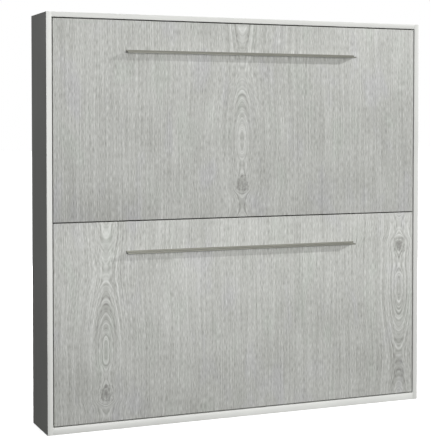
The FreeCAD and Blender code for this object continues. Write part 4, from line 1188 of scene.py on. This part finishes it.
@dataclass
class Mattress:
    """A foam mattress in a quilted knit cover with piped edges, modelled once and used for both beds.

    Attributes:
        voxel: the size of the remesh that the cover is filled on.
        start_gap: how much smaller than the mattress the cover starts.
        corner_radius: the rounding of its four corners.
        rim_radius: the rounding of its rims.
        frames: the steps of the filling.
        pressure: the filling's pressure.
        most_swell: the most that a point may move.
        quilt_pitch: the distance between the lozenge pattern's stitch lines.
        quilt_depth: how far the stitches draw the faces in.
        stitch_width: the width of the dent at a stitch line.
        face_turn: how far a normal turns from the front before it counts as the border, and the fade.
        border_depth: how far the border's two seams draw it in.
        border_seam: the seams' distance from the border's middle, and the width of their dent.
        piping_radius: the piping's radius.
        piping_inset: how far inside the mattress's box the piping's path starts.
        piping_corner: the path's rounding at the corners.
        piping_step: the path's steps.
        piping_sink: how much of its radius the piping stands off the cover.
        strap_relief: how far the straps press the cover in.
        strap_reach: half the width that a strap presses, and how much of it is the slope.
        rest: the finished cover, in the lower bed's place.
        rest_box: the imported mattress's box there.
        pipes: the paths of the piping there.
    """

    voxel: float = 0.014
    start_gap: float = 0.006
    corner_radius: float = 0.030
    rim_radius: float = 0.014
    frames: int = 20
    pressure: float = 4.0
    most_swell: float = 0.009
    quilt_pitch: float = 0.118
    quilt_depth: float = 0.0042
    stitch_width: float = 0.0075
    face_turn: tuple[float, float] = (0.8, 0.15)
    border_depth: float = 0.0022
    border_seam: tuple[float, float] = (0.024, 0.006)
    piping_radius: float = 0.0038
    piping_inset: float = 0.004
    piping_corner: float = 0.028
    piping_step: float = 0.02
    piping_sink: float = 0.35
    strap_relief: float = 0.0018
    strap_reach: tuple[float, float] = (0.050, 0.022)
    rest: Mesh | None = None
    rest_box: Box | None = None
    pipes: list[list[Vector]] = field(default_factory=list)

    def blank(self, box: Box) -> Object:
        """Make the closed shape before it is filled, a little smaller than the mattress.

        Args:
            box: the mattress's box.

        Returns:
            The remeshed object.
        """
        inset = Vector((self.start_gap,) * 3)
        low, high = box.low + inset, box.high - inset
        bm = prism(rectangle(low, high), FRONT_BACK, low.y, high.y, self.corner_radius, 4)
        rims = [e for e in bm.edges if abs((e.verts[0].co - e.verts[1].co).normalized().y) < 0.01]
        rounded(bm, rims, self.rim_radius, 3)
        mesh = bpy.data.meshes.new("mattress_blank")
        bm.to_mesh(mesh)
        bm.free()
        made = stand("mattress_blank", mesh)
        remesh = made.modifiers.new("voxels", "REMESH")
        remesh.mode = "VOXEL"
        remesh.voxel_size = self.voxel
        return self.applied(made)

    def applied(self, made: Object) -> Object:
        """Replace an object's mesh with what its modifiers make of it.

        Args:
            made: the object.

        Returns:
            The same object, without modifiers.
        """
        fresh = evaluated(made)
        made.modifiers.clear()
        made.data = fresh
        return made

    def fill(self, made: Object) -> None:
        """Swell the cover with the foam's pressure, and cap how far each point may move.

        Args:
            made: the cover.
        """
        before = [v.co.copy() for v in made.data.vertices]
        cloth = made.modifiers.new("filling", "CLOTH")
        cloth.settings.use_pressure = True
        cloth.settings.uniform_pressure_force = self.pressure
        cloth.settings.effector_weights.gravity = 0.0
        cloth.point_cache.frame_end = self.frames
        scene = bpy.context.scene
        for number in range(1, self.frames + 1):
            scene.frame_set(number)
        self.applied(made)
        scene.frame_set(1)
        for vert, start in zip(made.data.vertices, before):
            moved = vert.co - start
            if moved.length > self.most_swell:
                vert.co = start + moved.normalized() * self.most_swell

    def quilt(self, made: Object, box: Box, strap_places: list[float]) -> None:
        """Stitch the faces in a lozenge pattern, draw in the border's seams and press in the straps.

        Args:
            made: the filled cover.
            box: the mattress's box.
            strap_places: the x of each strap's middle.
        """
        middle = box.centre
        turn, fade = self.face_turn
        seam, seam_width = self.border_seam
        reach, slope = self.strap_reach
        top = box.high - Vector((self.strap_relief,) * 3)
        normals = [v.normal.copy() for v in made.data.vertices]
        for vert, normal in zip(made.data.vertices, normals):
            co = vert.co
            across, up = co.x - middle.x, co.z - middle.z
            facing = clamped((abs(normal.y) - turn) / fade)
            near = min(abs((way / self.quilt_pitch + 0.5) % 1 - 0.5) * self.quilt_pitch
                       for way in ((across + up) * math.sqrt(0.5), (across - up) * math.sqrt(0.5)))
            dip = self.quilt_depth * facing * math.exp(-((near / self.stitch_width) ** 2))
            off_seam = (abs(co.y - middle.y) - seam) / seam_width
            border = self.border_depth * (1 - facing) * math.exp(-(off_seam ** 2))
            co -= normal * (dip + border)
            pressed = max(clamped((reach - abs(co.x - place)) / slope) for place in strap_places)
            pressed = pressed * pressed * (3 - 2 * pressed)
            co.y -= pressed * max(0.0, co.y - top.y)
            co.z -= pressed * max(0.0, co.z - top.z)
            co.z += pressed * max(0.0, box.low.z + self.strap_relief - co.z)
            co.y = max(co.y, box.low.y)
            vert.co = co

    def pipe_loops(self, made: Object, box: Box) -> None:
        """Lay piping along both rims: each loop follows the filled cover's own edge.

        Args:
            made: the quilted cover.
            box: the mattress's box.
        """
        mesh = made.data
        tree = BVHTree.FromPolygons([v.co for v in mesh.vertices], [p.vertices for p in mesh.polygons])
        inset = Vector((self.piping_inset,) * 3)
        low, high, middle = box.low + inset, box.high - inset, box.centre
        for y, outward in ((low.y, -1), (high.y, 1)):
            bm = prism(rectangle(low, high), FRONT_BACK, y, y + outward * 0.01, self.piping_corner, 8)
            loop = [v for v in bm.verts if abs(v.co.y - y) < 1e-5]
            loop.sort(key=lambda v: math.atan2(v.co.z - middle.z, v.co.x - middle.x))
            corners = [v.co.copy() for v in loop]
            bm.free()
            laid = []
            for a, b in zip(corners, corners[1:] + corners[:1]):
                steps = max(1, round((b - a).length / self.piping_step))
                for i in range(steps):
                    found, normal, _, _ = tree.find_nearest(a.lerp(b, i / steps))
                    laid.append(found + normal * self.piping_radius * self.piping_sink)
            self.pipes.append(laid)

    def prepare(self) -> None:
        """Model the mattress in the lower bed's place."""
        box = box_of(Level.LOWER.node("mattress"))
        straps = [strap.centre.x for strap in solids_of(Level.LOWER.node("mattress_straps"))]
        made = self.blank(box)
        self.fill(made)
        smooth = made.modifiers.new("smooth", "SUBSURF")
        smooth.levels = smooth.render_levels = 1
        self.applied(made)
        self.quilt(made, box, straps)
        self.pipe_loops(made, box)
        self.rest, self.rest_box = made.data, box
        bpy.data.objects.remove(made)

    def piping(self, shift: Vector) -> Mesh:
        """Draw the piping as a tube along each path.

        Args:
            shift: from the lower bed's mattress to this one.

        Returns:
            The tubes' mesh.
        """
        line = bpy.data.curves.new("piping", "CURVE")
        line.dimensions = "3D"
        line.bevel_depth = self.piping_radius
        line.bevel_resolution = 2
        for path in self.pipes:
            spline = line.splines.new("POLY")
            spline.points.add(len(path) - 1)
            for point, place in zip(spline.points, path):
                point.co = (*(place + shift), 1.0)
            spline.use_cyclic_u = True
        bent = stand("piping", line)
        tube = evaluated(bent)
        bpy.data.objects.remove(bent)
        return tube

    def lay(self, level: Level) -> None:
        """Put the mattress and its piping on one bed.

        Args:
            level: the bed.
        """
        node = level.node("mattress")
        shift = box_of(node).centre - self.rest_box.centre
        cover, tube = self.rest.copy(), self.piping(shift)
        cover.transform(Matrix.Translation(shift))
        for mesh, finish in ((cover, KNIT), (tube, PIPING)):
            mesh.materials.clear()
            mesh.materials.append(finish.material())
            mesh.shade_smooth()
        cover = settle(stand(level.node("mattress_cover"), cover), level.body, "mattress_fabric", node)
        settle(stand(level.node("mattress_piping"), tube), level.body, "mattress_fabric")


class Ribbon:
    """A band in the making: straight runs and round bends, drawn out from a starting edge.

    Attributes:
        long_edge: edges longer than this are divided.
        cuts: how often they are divided.
    """

    long_edge: float = 0.06
    cuts: int = 6

    def __init__(self, left: float, right: float, y: float, z: float) -> None:
        """Lay the starting edge.

        Args:
            left: the x of its left end.
            right: the x of its right end.
            y: its place from front to back.
            z: its height.
        """
        self.bm = bmesh.new()
        ends = [self.bm.verts.new((x, y, z)) for x in (left, right)]
        self.live = [self.bm.edges.new(ends), *ends]

    def run(self, y: float, z: float) -> None:
        """Draw the band straight on.

        Args:
            y: where the run ends, from front to back.
            z: the height where it ends.
        """
        edges = [g for g in self.live if isinstance(g, BMEdge)]
        grown = bmesh.ops.extrude_edge_only(self.bm, edges=edges)["geom"]
        for vert in grown:
            if isinstance(vert, BMVert):
                vert.co.y, vert.co.z = y, z
        self.live = [g for g in grown if not isinstance(g, BMFace)]

    def bend(self, y: float, z: float, angle: float, steps: int) -> None:
        """Draw the band round a bend.

        Args:
            y: the bend's middle, from front to back.
            z: the middle's height.
            angle: how far the bend turns, in degrees.
            steps: how many flats it has.
        """
        spun = bmesh.ops.spin(self.bm, geom=self.live, cent=(0, y, z), axis=LEFT_RIGHT, dvec=(0, 0, 0),
                              angle=math.radians(angle), steps=steps, use_merge=False, use_duplicate=False)
        self.live = spun["geom_last"]

    def thickened(self, thickness: float) -> BMesh:
        """Divide the long runs and give the band its thickness.

        Args:
            thickness: the thickness.

        Returns:
            The finished band.
        """
        bm = self.bm
        bmesh.ops.remove_doubles(bm, verts=bm.verts, dist=1e-5)
        edges = [e for e in bm.edges if (e.verts[0].co - e.verts[1].co).length > self.long_edge]
        bmesh.ops.subdivide_edges(bm, edges=edges, cuts=self.cuts, use_grid_fill=True)
        bmesh.ops.recalc_face_normals(bm, faces=bm.faces)
        bmesh.ops.solidify(bm, geom=bm.faces[:], thickness=thickness)
        return bm


@dataclass
class FoldingBed:
    """One bed: an ash door with its handle, a steel frame with beech slats, and the mattress's straps.

    Attributes:
        level: which bed it is.
        figures: the cathedral figures in its door.
        door_radius: the rounding of the door's edges.
        handle_leg: the thickness of the handle's leg on the door.
        handle_leg_height: the leg's height.
        handle_fin: the fin's thickness.
        handle_lip: how far the lip drops below the fin.
        handle_lip_depth: the lip's depth.
        handle_cap: the thickness of the handle's end caps.
        handle_radius: the rounding of the handle's edges.
        fixing_rise: how far the screw heads on the rails stand up.
        strike_screw: the radius and rise of the strike plates' screw heads.
        slat_radius: the rounding of the slats.
        strap_thickness: the webbing's thickness.
        strap_turn: its bend round the mattress's edges.
        strap_tight: its bend where it leaves a rail.
        clamp_screw: the radius and rise of the clamps' screw heads.
        buckle_share: how far up the strap the buckle is.
        buckle_half: half the buckle's width and height.
        buckle_bar: half the thickness of its bars.
        tail: the length of the strap's loose end.
        hem: the length of the sewn hem on it.
    """

    level: Level
    figures: tuple[Figure, ...]
    door_radius: float = 0.0008
    handle_leg: float = 0.003
    handle_leg_height: float = 0.014
    handle_fin: float = 0.005
    handle_lip: float = 0.002
    handle_lip_depth: float = 0.003
    handle_cap: float = 0.0012
    handle_radius: float = 0.0006
    fixing_rise: float = 0.002
    strike_screw: tuple[float, float] = (0.003, 0.0009)
    slat_radius: float = 0.0025
    strap_thickness: float = 0.0016
    strap_turn: float = 0.013
    strap_tight: float = 0.004
    clamp_screw: tuple[float, float] = (0.0028, 0.0012)
    buckle_share: float = 0.30
    buckle_half: tuple[float, float] = (0.031, 0.018)
    buckle_bar: float = 0.0035
    tail: float = 0.17
    hem: float = 0.024

    def door(self) -> None:
        """Hang the ash door, with its decor laid out from its lower left corner."""
        node = self.level.node("door")
        box = box_of(node)
        ash = AshBoard(f"ash_foil_board_{self.level.value}", "#bcbdb6", roughness=0.55,
                       corner=(box.low.x, box.low.z), figures=self.figures)
        Form(ash).take(block(box.low, box.high, self.door_radius, 2)).place(
            self.level.node("door_board"), self.level.body, "door_board", node)

    def handle(self) -> None:
        """Make the long handle: a leg on the door, a thin fin, a lip at its front, and moulded end caps."""
        node = self.level.node("handle")
        box = box_of(node)
        face, front = box.high.y, box.low.y
        base = box.low.z + self.handle_lip
        outline = [(face, base), (face, base + self.handle_leg_height),
                   (face - self.handle_leg, base + self.handle_leg_height),
                   (face - self.handle_leg, base + self.handle_fin), (front, base + self.handle_fin),
                   (front, base - self.handle_lip), (front + self.handle_lip_depth, base - self.handle_lip),
                   (front + self.handle_lip_depth, base)]
        form = Form(HANDLE, NYLON)
        form.take(prism(outline, LEFT_RIGHT, box.low.x, box.high.x, self.handle_radius))
        for x, way in ((box.low.x, -1), (box.high.x, 1)):
            start, end = sorted((x, x + way * self.handle_cap))
            form.take(prism(outline, LEFT_RIGHT, start, end, 0.0004, 1), 1)
        form.place(self.level.node("handle_profile"), self.level.body, "handle_aluminium", node)

    def fixings(self) -> None:
        """Put a head on every screw through the rails and the door, and on the strike plates."""
        heads, plates = self.level.node("door_fixings"), self.level.node("strike_plates")
        form = Form(ZINC)
        for box in solids_of(heads):
            at = Vector((box.centre.x, box.high.y - self.fixing_rise, box.centre.z))
            form.take(screw_head(at, FRONT_BACK, box.size.x / 2, self.fixing_rise, Drive.HEX))
        form.place(self.level.node("fixing_heads"), self.level.body, "zinc_steel", heads)
        form = Form(ZINC)
        for box in solids_of(plates):
            form.take(block(box.low, box.high, 0.0005))
            for share in (0.12, 0.88):
                at = Vector((box.centre.x, box.high.y - 0.0004, box.low.z + box.size.z * share))
                form.take(screw_head(at, FRONT_BACK, *self.strike_screw, Drive.CROSS))
        form.place(self.level.node("strikes"), self.level.body, "zinc_steel", plates)

    def slats(self) -> None:
        """Lay the bent beech slats, their long edges and ends rounded over."""
        form = Form(SLAT)
        for box in solids_of(self.level.node("slats")):
            form.take(block(box.low, box.high, self.slat_radius, 3))
        form.place(self.level.node("beech_slats"), self.level.body, "slat_wood", self.level.node("slats"))

    def strap_band(self, box: Box) -> BMesh:
        """Bend one strap from its rail round the mattress and back to the rail above.

        Args:
            box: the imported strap's box.

        Returns:
            The band, with its thickness.
        """
        t, turn, tight = self.strap_thickness, self.strap_turn, self.strap_tight
        front, back = box.low.y + t / 2, box.high.y - 0.002 + t / 2
        low, high = box.low.z + 0.0174 + t / 2, box.high.z - t / 2
        band = Ribbon(box.low.x, box.high.x, front, box.low.z)
        band.run(front, low - tight)
        band.bend(front + tight, low - tight, -90, 4)
        band.run(back - turn, low)
        band.bend(back - turn, low + turn, 90, 8)
        band.run(back, high - turn)
        band.bend(back - turn, high - turn, 90, 8)
        band.run(front + tight, high)
        band.bend(front + tight, high + tight, -90, 4)
        band.run(front, high + 0.0065)
        return band.thickened(t)

    def buckle(self, form: Form, middle: float, back: float, z: float) -> None:
        """Add a ladder-lock buckle: three bars across the strap between two side bars.

        Args:
            form: the straps' piece.
            middle: the x of the strap's middle.
            back: the y of its back.
            z: the buckle's height.
        """
        (half_width, half_height), bar = self.buckle_half, self.buckle_bar
        bars = [(middle, half_width, height, bar) for height in (z - half_height, z - 0.004, z + half_height)]
        bars += [(middle + side * (half_width - bar), bar, z, half_height) for side in (-1, 1)]
        for x, x_half, height, z_half in bars:
            form.take(block(Vector((x - x_half, back - 0.0008, height - z_half)),
                            Vector((x + x_half, back + 0.0026, height + z_half)), 0.0011, 3), 1)

    def clamp(self, form: Form, box: Box, rail: float, low: float, high: float) -> None:
        """Add a steel clamp that holds a strap's end on a rail, with its two screws.

        Args:
            form: the straps' piece.
            box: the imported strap's box.
            rail: the y of the rail's back.
            low: the clamp's lower edge.
            high: its upper edge.
        """
        face = rail + self.strap_thickness
        form.take(block(Vector((box.low.x - 0.002, face, low)),
                        Vector((box.high.x + 0.002, face + 0.0014, high)), 0.0004), 2)
        for share in (0.14, 0.86):
            at = Vector((box.low.x + box.size.x * share, face + 0.0012, (low + high) / 2))
            form.take(screw_head(at, FRONT_BACK, *self.clamp_screw, Drive.CROSS), 2)

    def straps(self) -> None:
        """Strap the mattress down: webbing with a sewn end, a ladder-lock buckle and a clamp at each rail."""
        node = self.level.node("mattress_straps")
        rail = box_of(self.level.node("rear_rail")).high.y
        form = Form(STRAP, NYLON, ZINC)
        for box in solids_of(node):
            form.take(self.strap_band(box))
            back = box.high.y - 0.0006
            lock_z = box.low.z + box.size.z * self.buckle_share
            self.buckle(form, box.centre.x, back, lock_z)
            end = lock_z - self.tail
            form.take(block(Vector((box.low.x + 0.001, back + 0.0002, end)),
                            Vector((box.high.x - 0.001, back + 0.0018, lock_z - 0.006)), 0.0006))
            form.take(block(Vector((box.low.x + 0.0006, back, end - 0.001)),
                            Vector((box.high.x - 0.0006, back + 0.0034, end + self.hem)), 0.0007))
            self.clamp(form, box, rail, box.low.z + 0.0004, box.low.z + 0.0092)
            self.clamp(form, box, rail, box.high.z - 0.0002, box.high.z + 0.0066)
        form.place(self.level.node("strap_webbing"), self.level.body, "strap_webbing", node)

    def build(self) -> None:
        """Build and dress the bed, all but its mattress."""
        self.door()
        self.handle()
        self.fixings()
        self.slats()
        self.straps()
        node = self.level.node
        for name in ("rear_rail", "front_rail", "end_rails", "cross_rails", "pivot_brackets"):
            dress(STEEL_COAT, node(name))
        dress(NYLON, node("slat_holders"))
        dress(ZINC, node("bed_pins"))


@dataclass
class GasStrut:
    """A gas strut: a lacquered tube with a rolled end, a chromed rod, and a steel eye at each end.

    Attributes:
        level: the bed that it lifts.
        side: "left" or "right".
        tube_radius: the tube's radius.
        rod_radius: the rod's radius.
        eye_radius: the eyes' radius.
        eye_bore: the radius of their holes.
        eye_width: their width.
        eye_edge: the softening of their rims.
        neck: the distance from the upper eye's middle to the tube.
        guide: how much of the rod is in the tube's end.
        stem: the distance from the lower eye's middle to the rod.
    """

    level: Level
    side: str
    tube_radius: float = 0.009
    rod_radius: float = 0.004
    eye_radius: float = 0.0075
    eye_bore: float = 0.0042
    eye_width: float = 0.010
    eye_edge: float = 0.0009
    neck: float = 0.011
    guide: float = 0.020
    stem: float = 0.016

    def stud(self, node: str, near: float) -> Vector:
        """Find a stud of this side.

        Args:
            node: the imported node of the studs.
            near: the height that it is nearest to.

        Returns:
            The stud's middle, in line with the strut.
        """
        sign = -1 if self.side == "left" else 1
        found = [b for b in solids_of(node) if b.centre.x * sign > 0]
        best = min(found, key=lambda b: abs(b.centre.z - near))
        x = box_of(self.level.node(f"{self.side}_strut_cylinder")).centre.x
        return Vector((x, best.centre.y, best.centre.z))

    def eye(self, at: Vector) -> BMesh:
        """Turn an end eye with softened rims.

        Args:
            at: the eye's middle.

        Returns:
            The new shape.
        """
        r, b, h, c = self.eye_radius, self.eye_bore, self.eye_width / 2, self.eye_edge
        ring = [(b, -h), (r - c, -h), (r, c - h), (r, h - c), (r - c, h), (b, h), (b, -h)]
        return turned(ring, at, LEFT_RIGHT, 28)

    def tube(self, anchor: Vector, along: Vector, end: float) -> Form:
        """Turn the tube with its shoulder, its rolled groove and end, its wiper ring and its upper eye.

        Args:
            anchor: the upper stud's middle.
            along: the direction down the strut.
            end: the distance from the stud to the tube's end.

        Returns:
            The tube's piece.
        """
        r, rod, neck = self.tube_radius, self.rod_radius, self.neck
        shank = [(0, 0.005), (0.004, 0.005), (0.004, neck - 0.002), (0.0062, neck), (0.0062, neck + 0.003),
                 (0, neck + 0.003)]
        case = [(0, neck + 0.0008), (r - 0.0022, neck + 0.0008), (r - 0.0006, neck + 0.0022),
                (r, neck + 0.005), (r, end - 0.0165), (r - 0.0009, end - 0.0150), (r - 0.0009, end - 0.0135),
                (r, end - 0.0120), (r, end - 0.003), (r - 0.0008, end - 0.0012), (r - 0.0026, end - 0.0004),
                (rod + 0.0004, end), (rod + 0.0004, end - 0.004), (0, end - 0.004)]
        wiper = [(rod + 0.0001, end - 0.001), (rod + 0.0022, end - 0.0005), (rod + 0.0012, end + 0.0006),
                 (rod + 0.0001, end + 0.0004), (rod + 0.0001, end - 0.001)]
        form = Form(STRUT_PAINT, ZINC, RUBBER)
        form.take(self.eye(anchor), 1)
        form.take(turned(shank, anchor, along), 1)
        form.take(turned(case, anchor, along, 32))
        return form.take(turned(wiper, anchor, along, 28), 2)

    def rod(self, anchor: Vector, foot: Vector, start: float) -> Form:
        """Turn the rod with its hexagonal stem and its lower eye.

        Args:
            anchor: the upper stud's middle.
            foot: the lower stud's middle.
            start: the distance from the upper stud to the rod's hidden end.

        Returns:
            The rod's piece.
        """
        along, span = (foot - anchor).normalized(), (foot - anchor).length
        r, end = self.rod_radius, span - self.stem
        bar = [(0, start), (r, start), (r, end), (0, end)]
        stem = [(0, span - 0.017), (0.0046, span - 0.017), (0.0054, span - 0.0162), (0.0054, span - 0.0100),
                (0.0040, span - 0.0085), (0.0040, span - 0.005), (0, span - 0.005)]
        form = Form(CHROME, ZINC)
        form.take(turned(bar, anchor, along, 24))
        form.take(self.eye(foot), 1)
        return form.take(turned(stem, anchor, along, 12), 1)

    def build(self) -> None:
        """Build the tube and the rod between the two studs."""
        tube_node = self.level.node(f"{self.side}_strut_cylinder")
        rod_node = self.level.node(f"{self.side}_strut_rod")
        tube_box, rod_box = box_of(tube_node), box_of(rod_node)
        anchor = self.stud("strut_anchor_studs", tube_box.high.z)
        foot = self.stud(self.level.node("bed_pins"), rod_box.low.z)
        along = (foot - anchor).normalized()
        end = (anchor.z - tube_box.low.z - self.tube_radius * abs(along.y)) / abs(along.z)
        tube = self.tube(anchor, along, end)
        tube.place(self.level.node(f"{self.side}_strut_tube"), tube_node, "strut_black", tube_node)
        rod = self.rod(anchor, foot, end - self.guide)
        rod.place(self.level.node(f"{self.side}_strut_piston"), rod_node, "chromed_rod", rod_node)


@dataclass
class GuardRail:
    """The upper bed's folding guard rail, its tube ends plugged."""

    tube_radius: float = 0.011
    plug_rise: float = 0.0035

    def build(self) -> None:
        """Dress the tubes and brackets and push a domed plug into each open end."""
        box = box_of("guard_rail")
        r, rise = self.tube_radius, self.plug_rise
        low, hinge = box.low.z + r, box.high.z - r
        plug = [(0, rise), (r * 0.55, rise * 0.9), (r * 0.88, rise * 0.5), (r + 0.0004, 0.0006),
                (r + 0.0004, 0), (0, 0)]
        form = Form(NYLON)
        for z in (low, (low + hinge) / 2):
            for x, way in ((box.low.x, -1), (box.high.x, 1)):
                form.take(turned(plug, Vector((x, box.centre.y, z)), LEFT_RIGHT * way))
        form.place("guard_rail_plugs", "guard_rail", "nylon")
        dress(STEEL_COAT, "guard_rail", "guard_brackets")


@dataclass
class Ladder:
    """The hook-on ladder that hangs behind the lower mattress: aluminium, ribbed treads, rubber feet.

    Attributes:
        body: the body that the ladder rides on.
        rib: the treads' ribs, from one to the next.
        tread_rise: how far the ribs stand off a rung.
        tread_gap: how far a tread stops short of the stiles.
        foot_step: how far the feet's ribs stand off the caps.
        foot_rib: half a foot rib's width.
        plug: the thickness of the stiles' plugs.
    """

    body: str = "ladder"
    rib: float = 0.006
    tread_rise: float = 0.0012
    tread_gap: float = 0.006
    foot_step: float = 0.0022
    foot_rib: float = 0.003
    plug: float = 0.002

    def treads(self) -> None:
        """Slide a ribbed rubber sleeve over each rung."""
        form = Form(RUBBER)
        for box in solids_of("ladder_rungs"):
            inner, outer = box.size.x / 2 + 0.0002, box.size.x / 2 + self.tread_rise
            length = box.size.z - 2 * self.tread_gap
            count = round(length / self.rib)
            profile = [(inner, 0)]
            for start in (i * length / count for i in range(count)):
                profile += [(outer, start), (outer, start + self.rib * 0.55),
                            (inner + 0.0004, start + self.rib * 0.7)]
            profile += [(outer, length), (inner, length), (inner, 0)]
            at = Vector((box.centre.x, box.centre.y, box.low.z + self.tread_gap))
            form.take(turned(profile, at, UP, 18))
        form.place("ladder_treads", self.body, "rubber")

    def feet(self) -> None:
        """Mould the feet: a rubber cap with three grip ribs, in the place of each plain plug."""
        form = Form(RUBBER)
        for box in solids_of("ladder_feet"):
            form.take(block(box.low + Vector((self.foot_step, 0, 0)), box.high, 0.0018, 3))
            for share in (0.2, 0.5, 0.8):
                z = box.low.z + box.size.z * share
                form.take(block(Vector((box.low.x, box.low.y + 0.001, z - self.foot_rib)),
                                Vector((box.low.x + 0.004, box.high.y - 0.001, z + self.foot_rib)), 0.0009))
        form.place("ladder_foot_caps", self.body, "rubber", "ladder_feet")

    def plugs(self) -> None:
        """Close the upper end of both stiles."""
        form = Form(NYLON)
        for box in solids_of("ladder_stiles"):
            form.take(block(Vector((box.high.x, box.low.y, box.low.z)),
                            Vector((box.high.x + self.plug, box.high.y, box.high.z)), 0.0008))
        form.place("ladder_stile_plugs", self.body, "nylon")

    def build(self) -> None:
        """Build and dress the ladder."""
        self.treads()
        self.feet()
        self.plugs()
        dress(LADDER_METAL, "ladder_stiles", "ladder_rungs")
        dress(STEEL_COAT, "ladder_hooks")


# ---------------------------------------------------------------- the studio
@dataclass
class SoftBox:
    """A rectangular studio light."""

    name: str
    at: tuple[float, float, float]
    towards: tuple[float, float, float]
    width: float
    height: float
    power: float

    def build(self) -> None:
        """Hang the light and turn it to its target."""
        lamp = bpy.data.lights.new(self.name, "AREA")
        lamp.shape = "RECTANGLE"
        lamp.size, lamp.size_y = self.width, self.height
        lamp.energy = self.power
        made = stand(self.name, lamp)
        made.location = self.at
        made.rotation_euler = (Vector(self.towards) - Vector(self.at)).to_track_quat("-Z", "Y").to_euler()


@dataclass
class Studio:
    """A pale floor, soft lights all round, a sun overhead, a low key sun from the right, and the camera.

    Attributes:
        floor_half: half the floor's side.
        ambient: the light from all round.
        backdrop: how white the room is to the camera.
        eye: where the camera stands.
        turn: how far it is turned to the right, in degrees.
        tilt: how far it looks down, in degrees.
        lens: its focal length in millimetres.
        rise: its upright shift.
        sun_power: the overhead sun's strength.
        sun_angle: its softness, in degrees.
        key_power: the key sun's strength.
        key_angle: its softness, in degrees.
        key_from: the direction that it comes from.
        lights: the soft lights.
    """

    floor_half: float = 60.0
    ambient: float = 0.022
    backdrop: float = 1.0
    eye: tuple[float, float, float] = (-2.615, -6.019, 1.558)
    turn: float = 22.65
    tilt: float = 1.79
    lens: float = 97.75
    rise: float = -0.14
    sun_power: float = 1.2
    sun_angle: float = 8.0
    key_power: float = 1.85
    key_angle: float = 2.5
    key_from: tuple[float, float, float] = (0.872, -0.308, 0.38)
    lights: tuple[SoftBox, ...] = (
        SoftBox("front_fill", (-2.0, -10.0, 2.2), (0.0, 0.0, 1.1), 6.0, 4.0, 650.0),
        SoftBox("front_low", (1.5, -6.0, 0.9), (0.3, 0.0, 0.8), 3.0, 1.5, 52.0),
        SoftBox("left_high", (-4.0, 0.5, 5.0), (-1.0, 0.0, 1.8), 2.0, 2.0, 15.0),
        SoftBox("rear_fill", (1.5, 6.5, 2.4), (0.0, 0.1, 1.1), 4.0, 3.0, 420.0),
    )

    def floor(self) -> None:
        """Lay the floor."""
        bm = bmesh.new()
        bmesh.ops.create_grid(bm, x_segments=1, y_segments=1, size=self.floor_half)
        mesh = bpy.data.meshes.new("floor")
        bm.to_mesh(mesh)
        bm.free()
        mesh.materials.append(FLOOR.material())
        made = stand("floor", mesh)
        made.visible_diffuse = made.visible_glossy = False

    def surroundings(self) -> None:
        """Light the room faintly from all round, behind a white backdrop."""
        world = bpy.data.worlds.new("studio")
        bpy.context.scene.world = world
        world.use_nodes = True
        tree = world.node_tree
        tree.nodes.clear()
        seen = add(tree, "LightPath", out="Is Camera Ray")
        room = add(tree, "Background", {"Color": linear("#ffffff"), "Strength": self.ambient})
        white = add(tree, "Background", {"Color": linear("#ffffff"), "Strength": self.backdrop})
        both = add(tree, "MixShader", {0: seen, 1: room, 2: white})
        add(tree, "OutputWorld", {"Surface": both})

    def daylight(self) -> None:
        """Add light from straight above, which whitens the floor, and a low key far off to the right."""
        for name, power, angle, way in (("overhead", self.sun_power, self.sun_angle, UP),
                                        ("key", self.key_power, self.key_angle, Vector(self.key_from))):
            lamp = bpy.data.lights.new(name, "SUN")
            lamp.energy = power
            lamp.angle = math.radians(angle)
            stand(name, lamp).rotation_euler = way.to_track_quat("Z", "Y").to_euler()

    def camera(self) -> None:
        """Stand the camera at eye height to the left of the cabinet."""
        lens = bpy.data.cameras.new("camera")
        lens.lens = self.lens
        lens.shift_y = self.rise
        made = stand("camera", lens)
        made.location = self.eye
        made.rotation_euler = (math.radians(90 - self.tilt), 0.0, math.radians(-self.turn))
        bpy.context.scene.camera = made

    def build(self) -> None:
        """Set up the whole studio."""
        self.camera()
        self.floor()
        self.surroundings()
        self.daylight()
        for light in self.lights:
            light.build()
        bpy.context.scene.view_settings.view_transform = "Standard"


def main() -> None:
    """Build the studio, the cabinet, both beds and what hangs in them."""
    logging.basicConfig(level=logging.INFO, format="%(message)s")
    Studio().build()
    Cabinet().build()
    mattress = Mattress()
    mattress.prepare()
    # each door's knots, from its lower left corner, and the way that their arches point
    figures = {Level.LOWER: (Figure(0.2705, 0.140), Figure(1.986, 0.830, -1)),
               Level.UPPER: (Figure(1.0235, 0.1755),)}
    for level in Level:
        FoldingBed(level, figures[level]).build()
        mattress.lay(level)
        for side in ("left", "right"):
            GasStrut(level, side).build()
    GuardRail().build()
    Ladder().build()


if __name__ == "__main__":
    main()
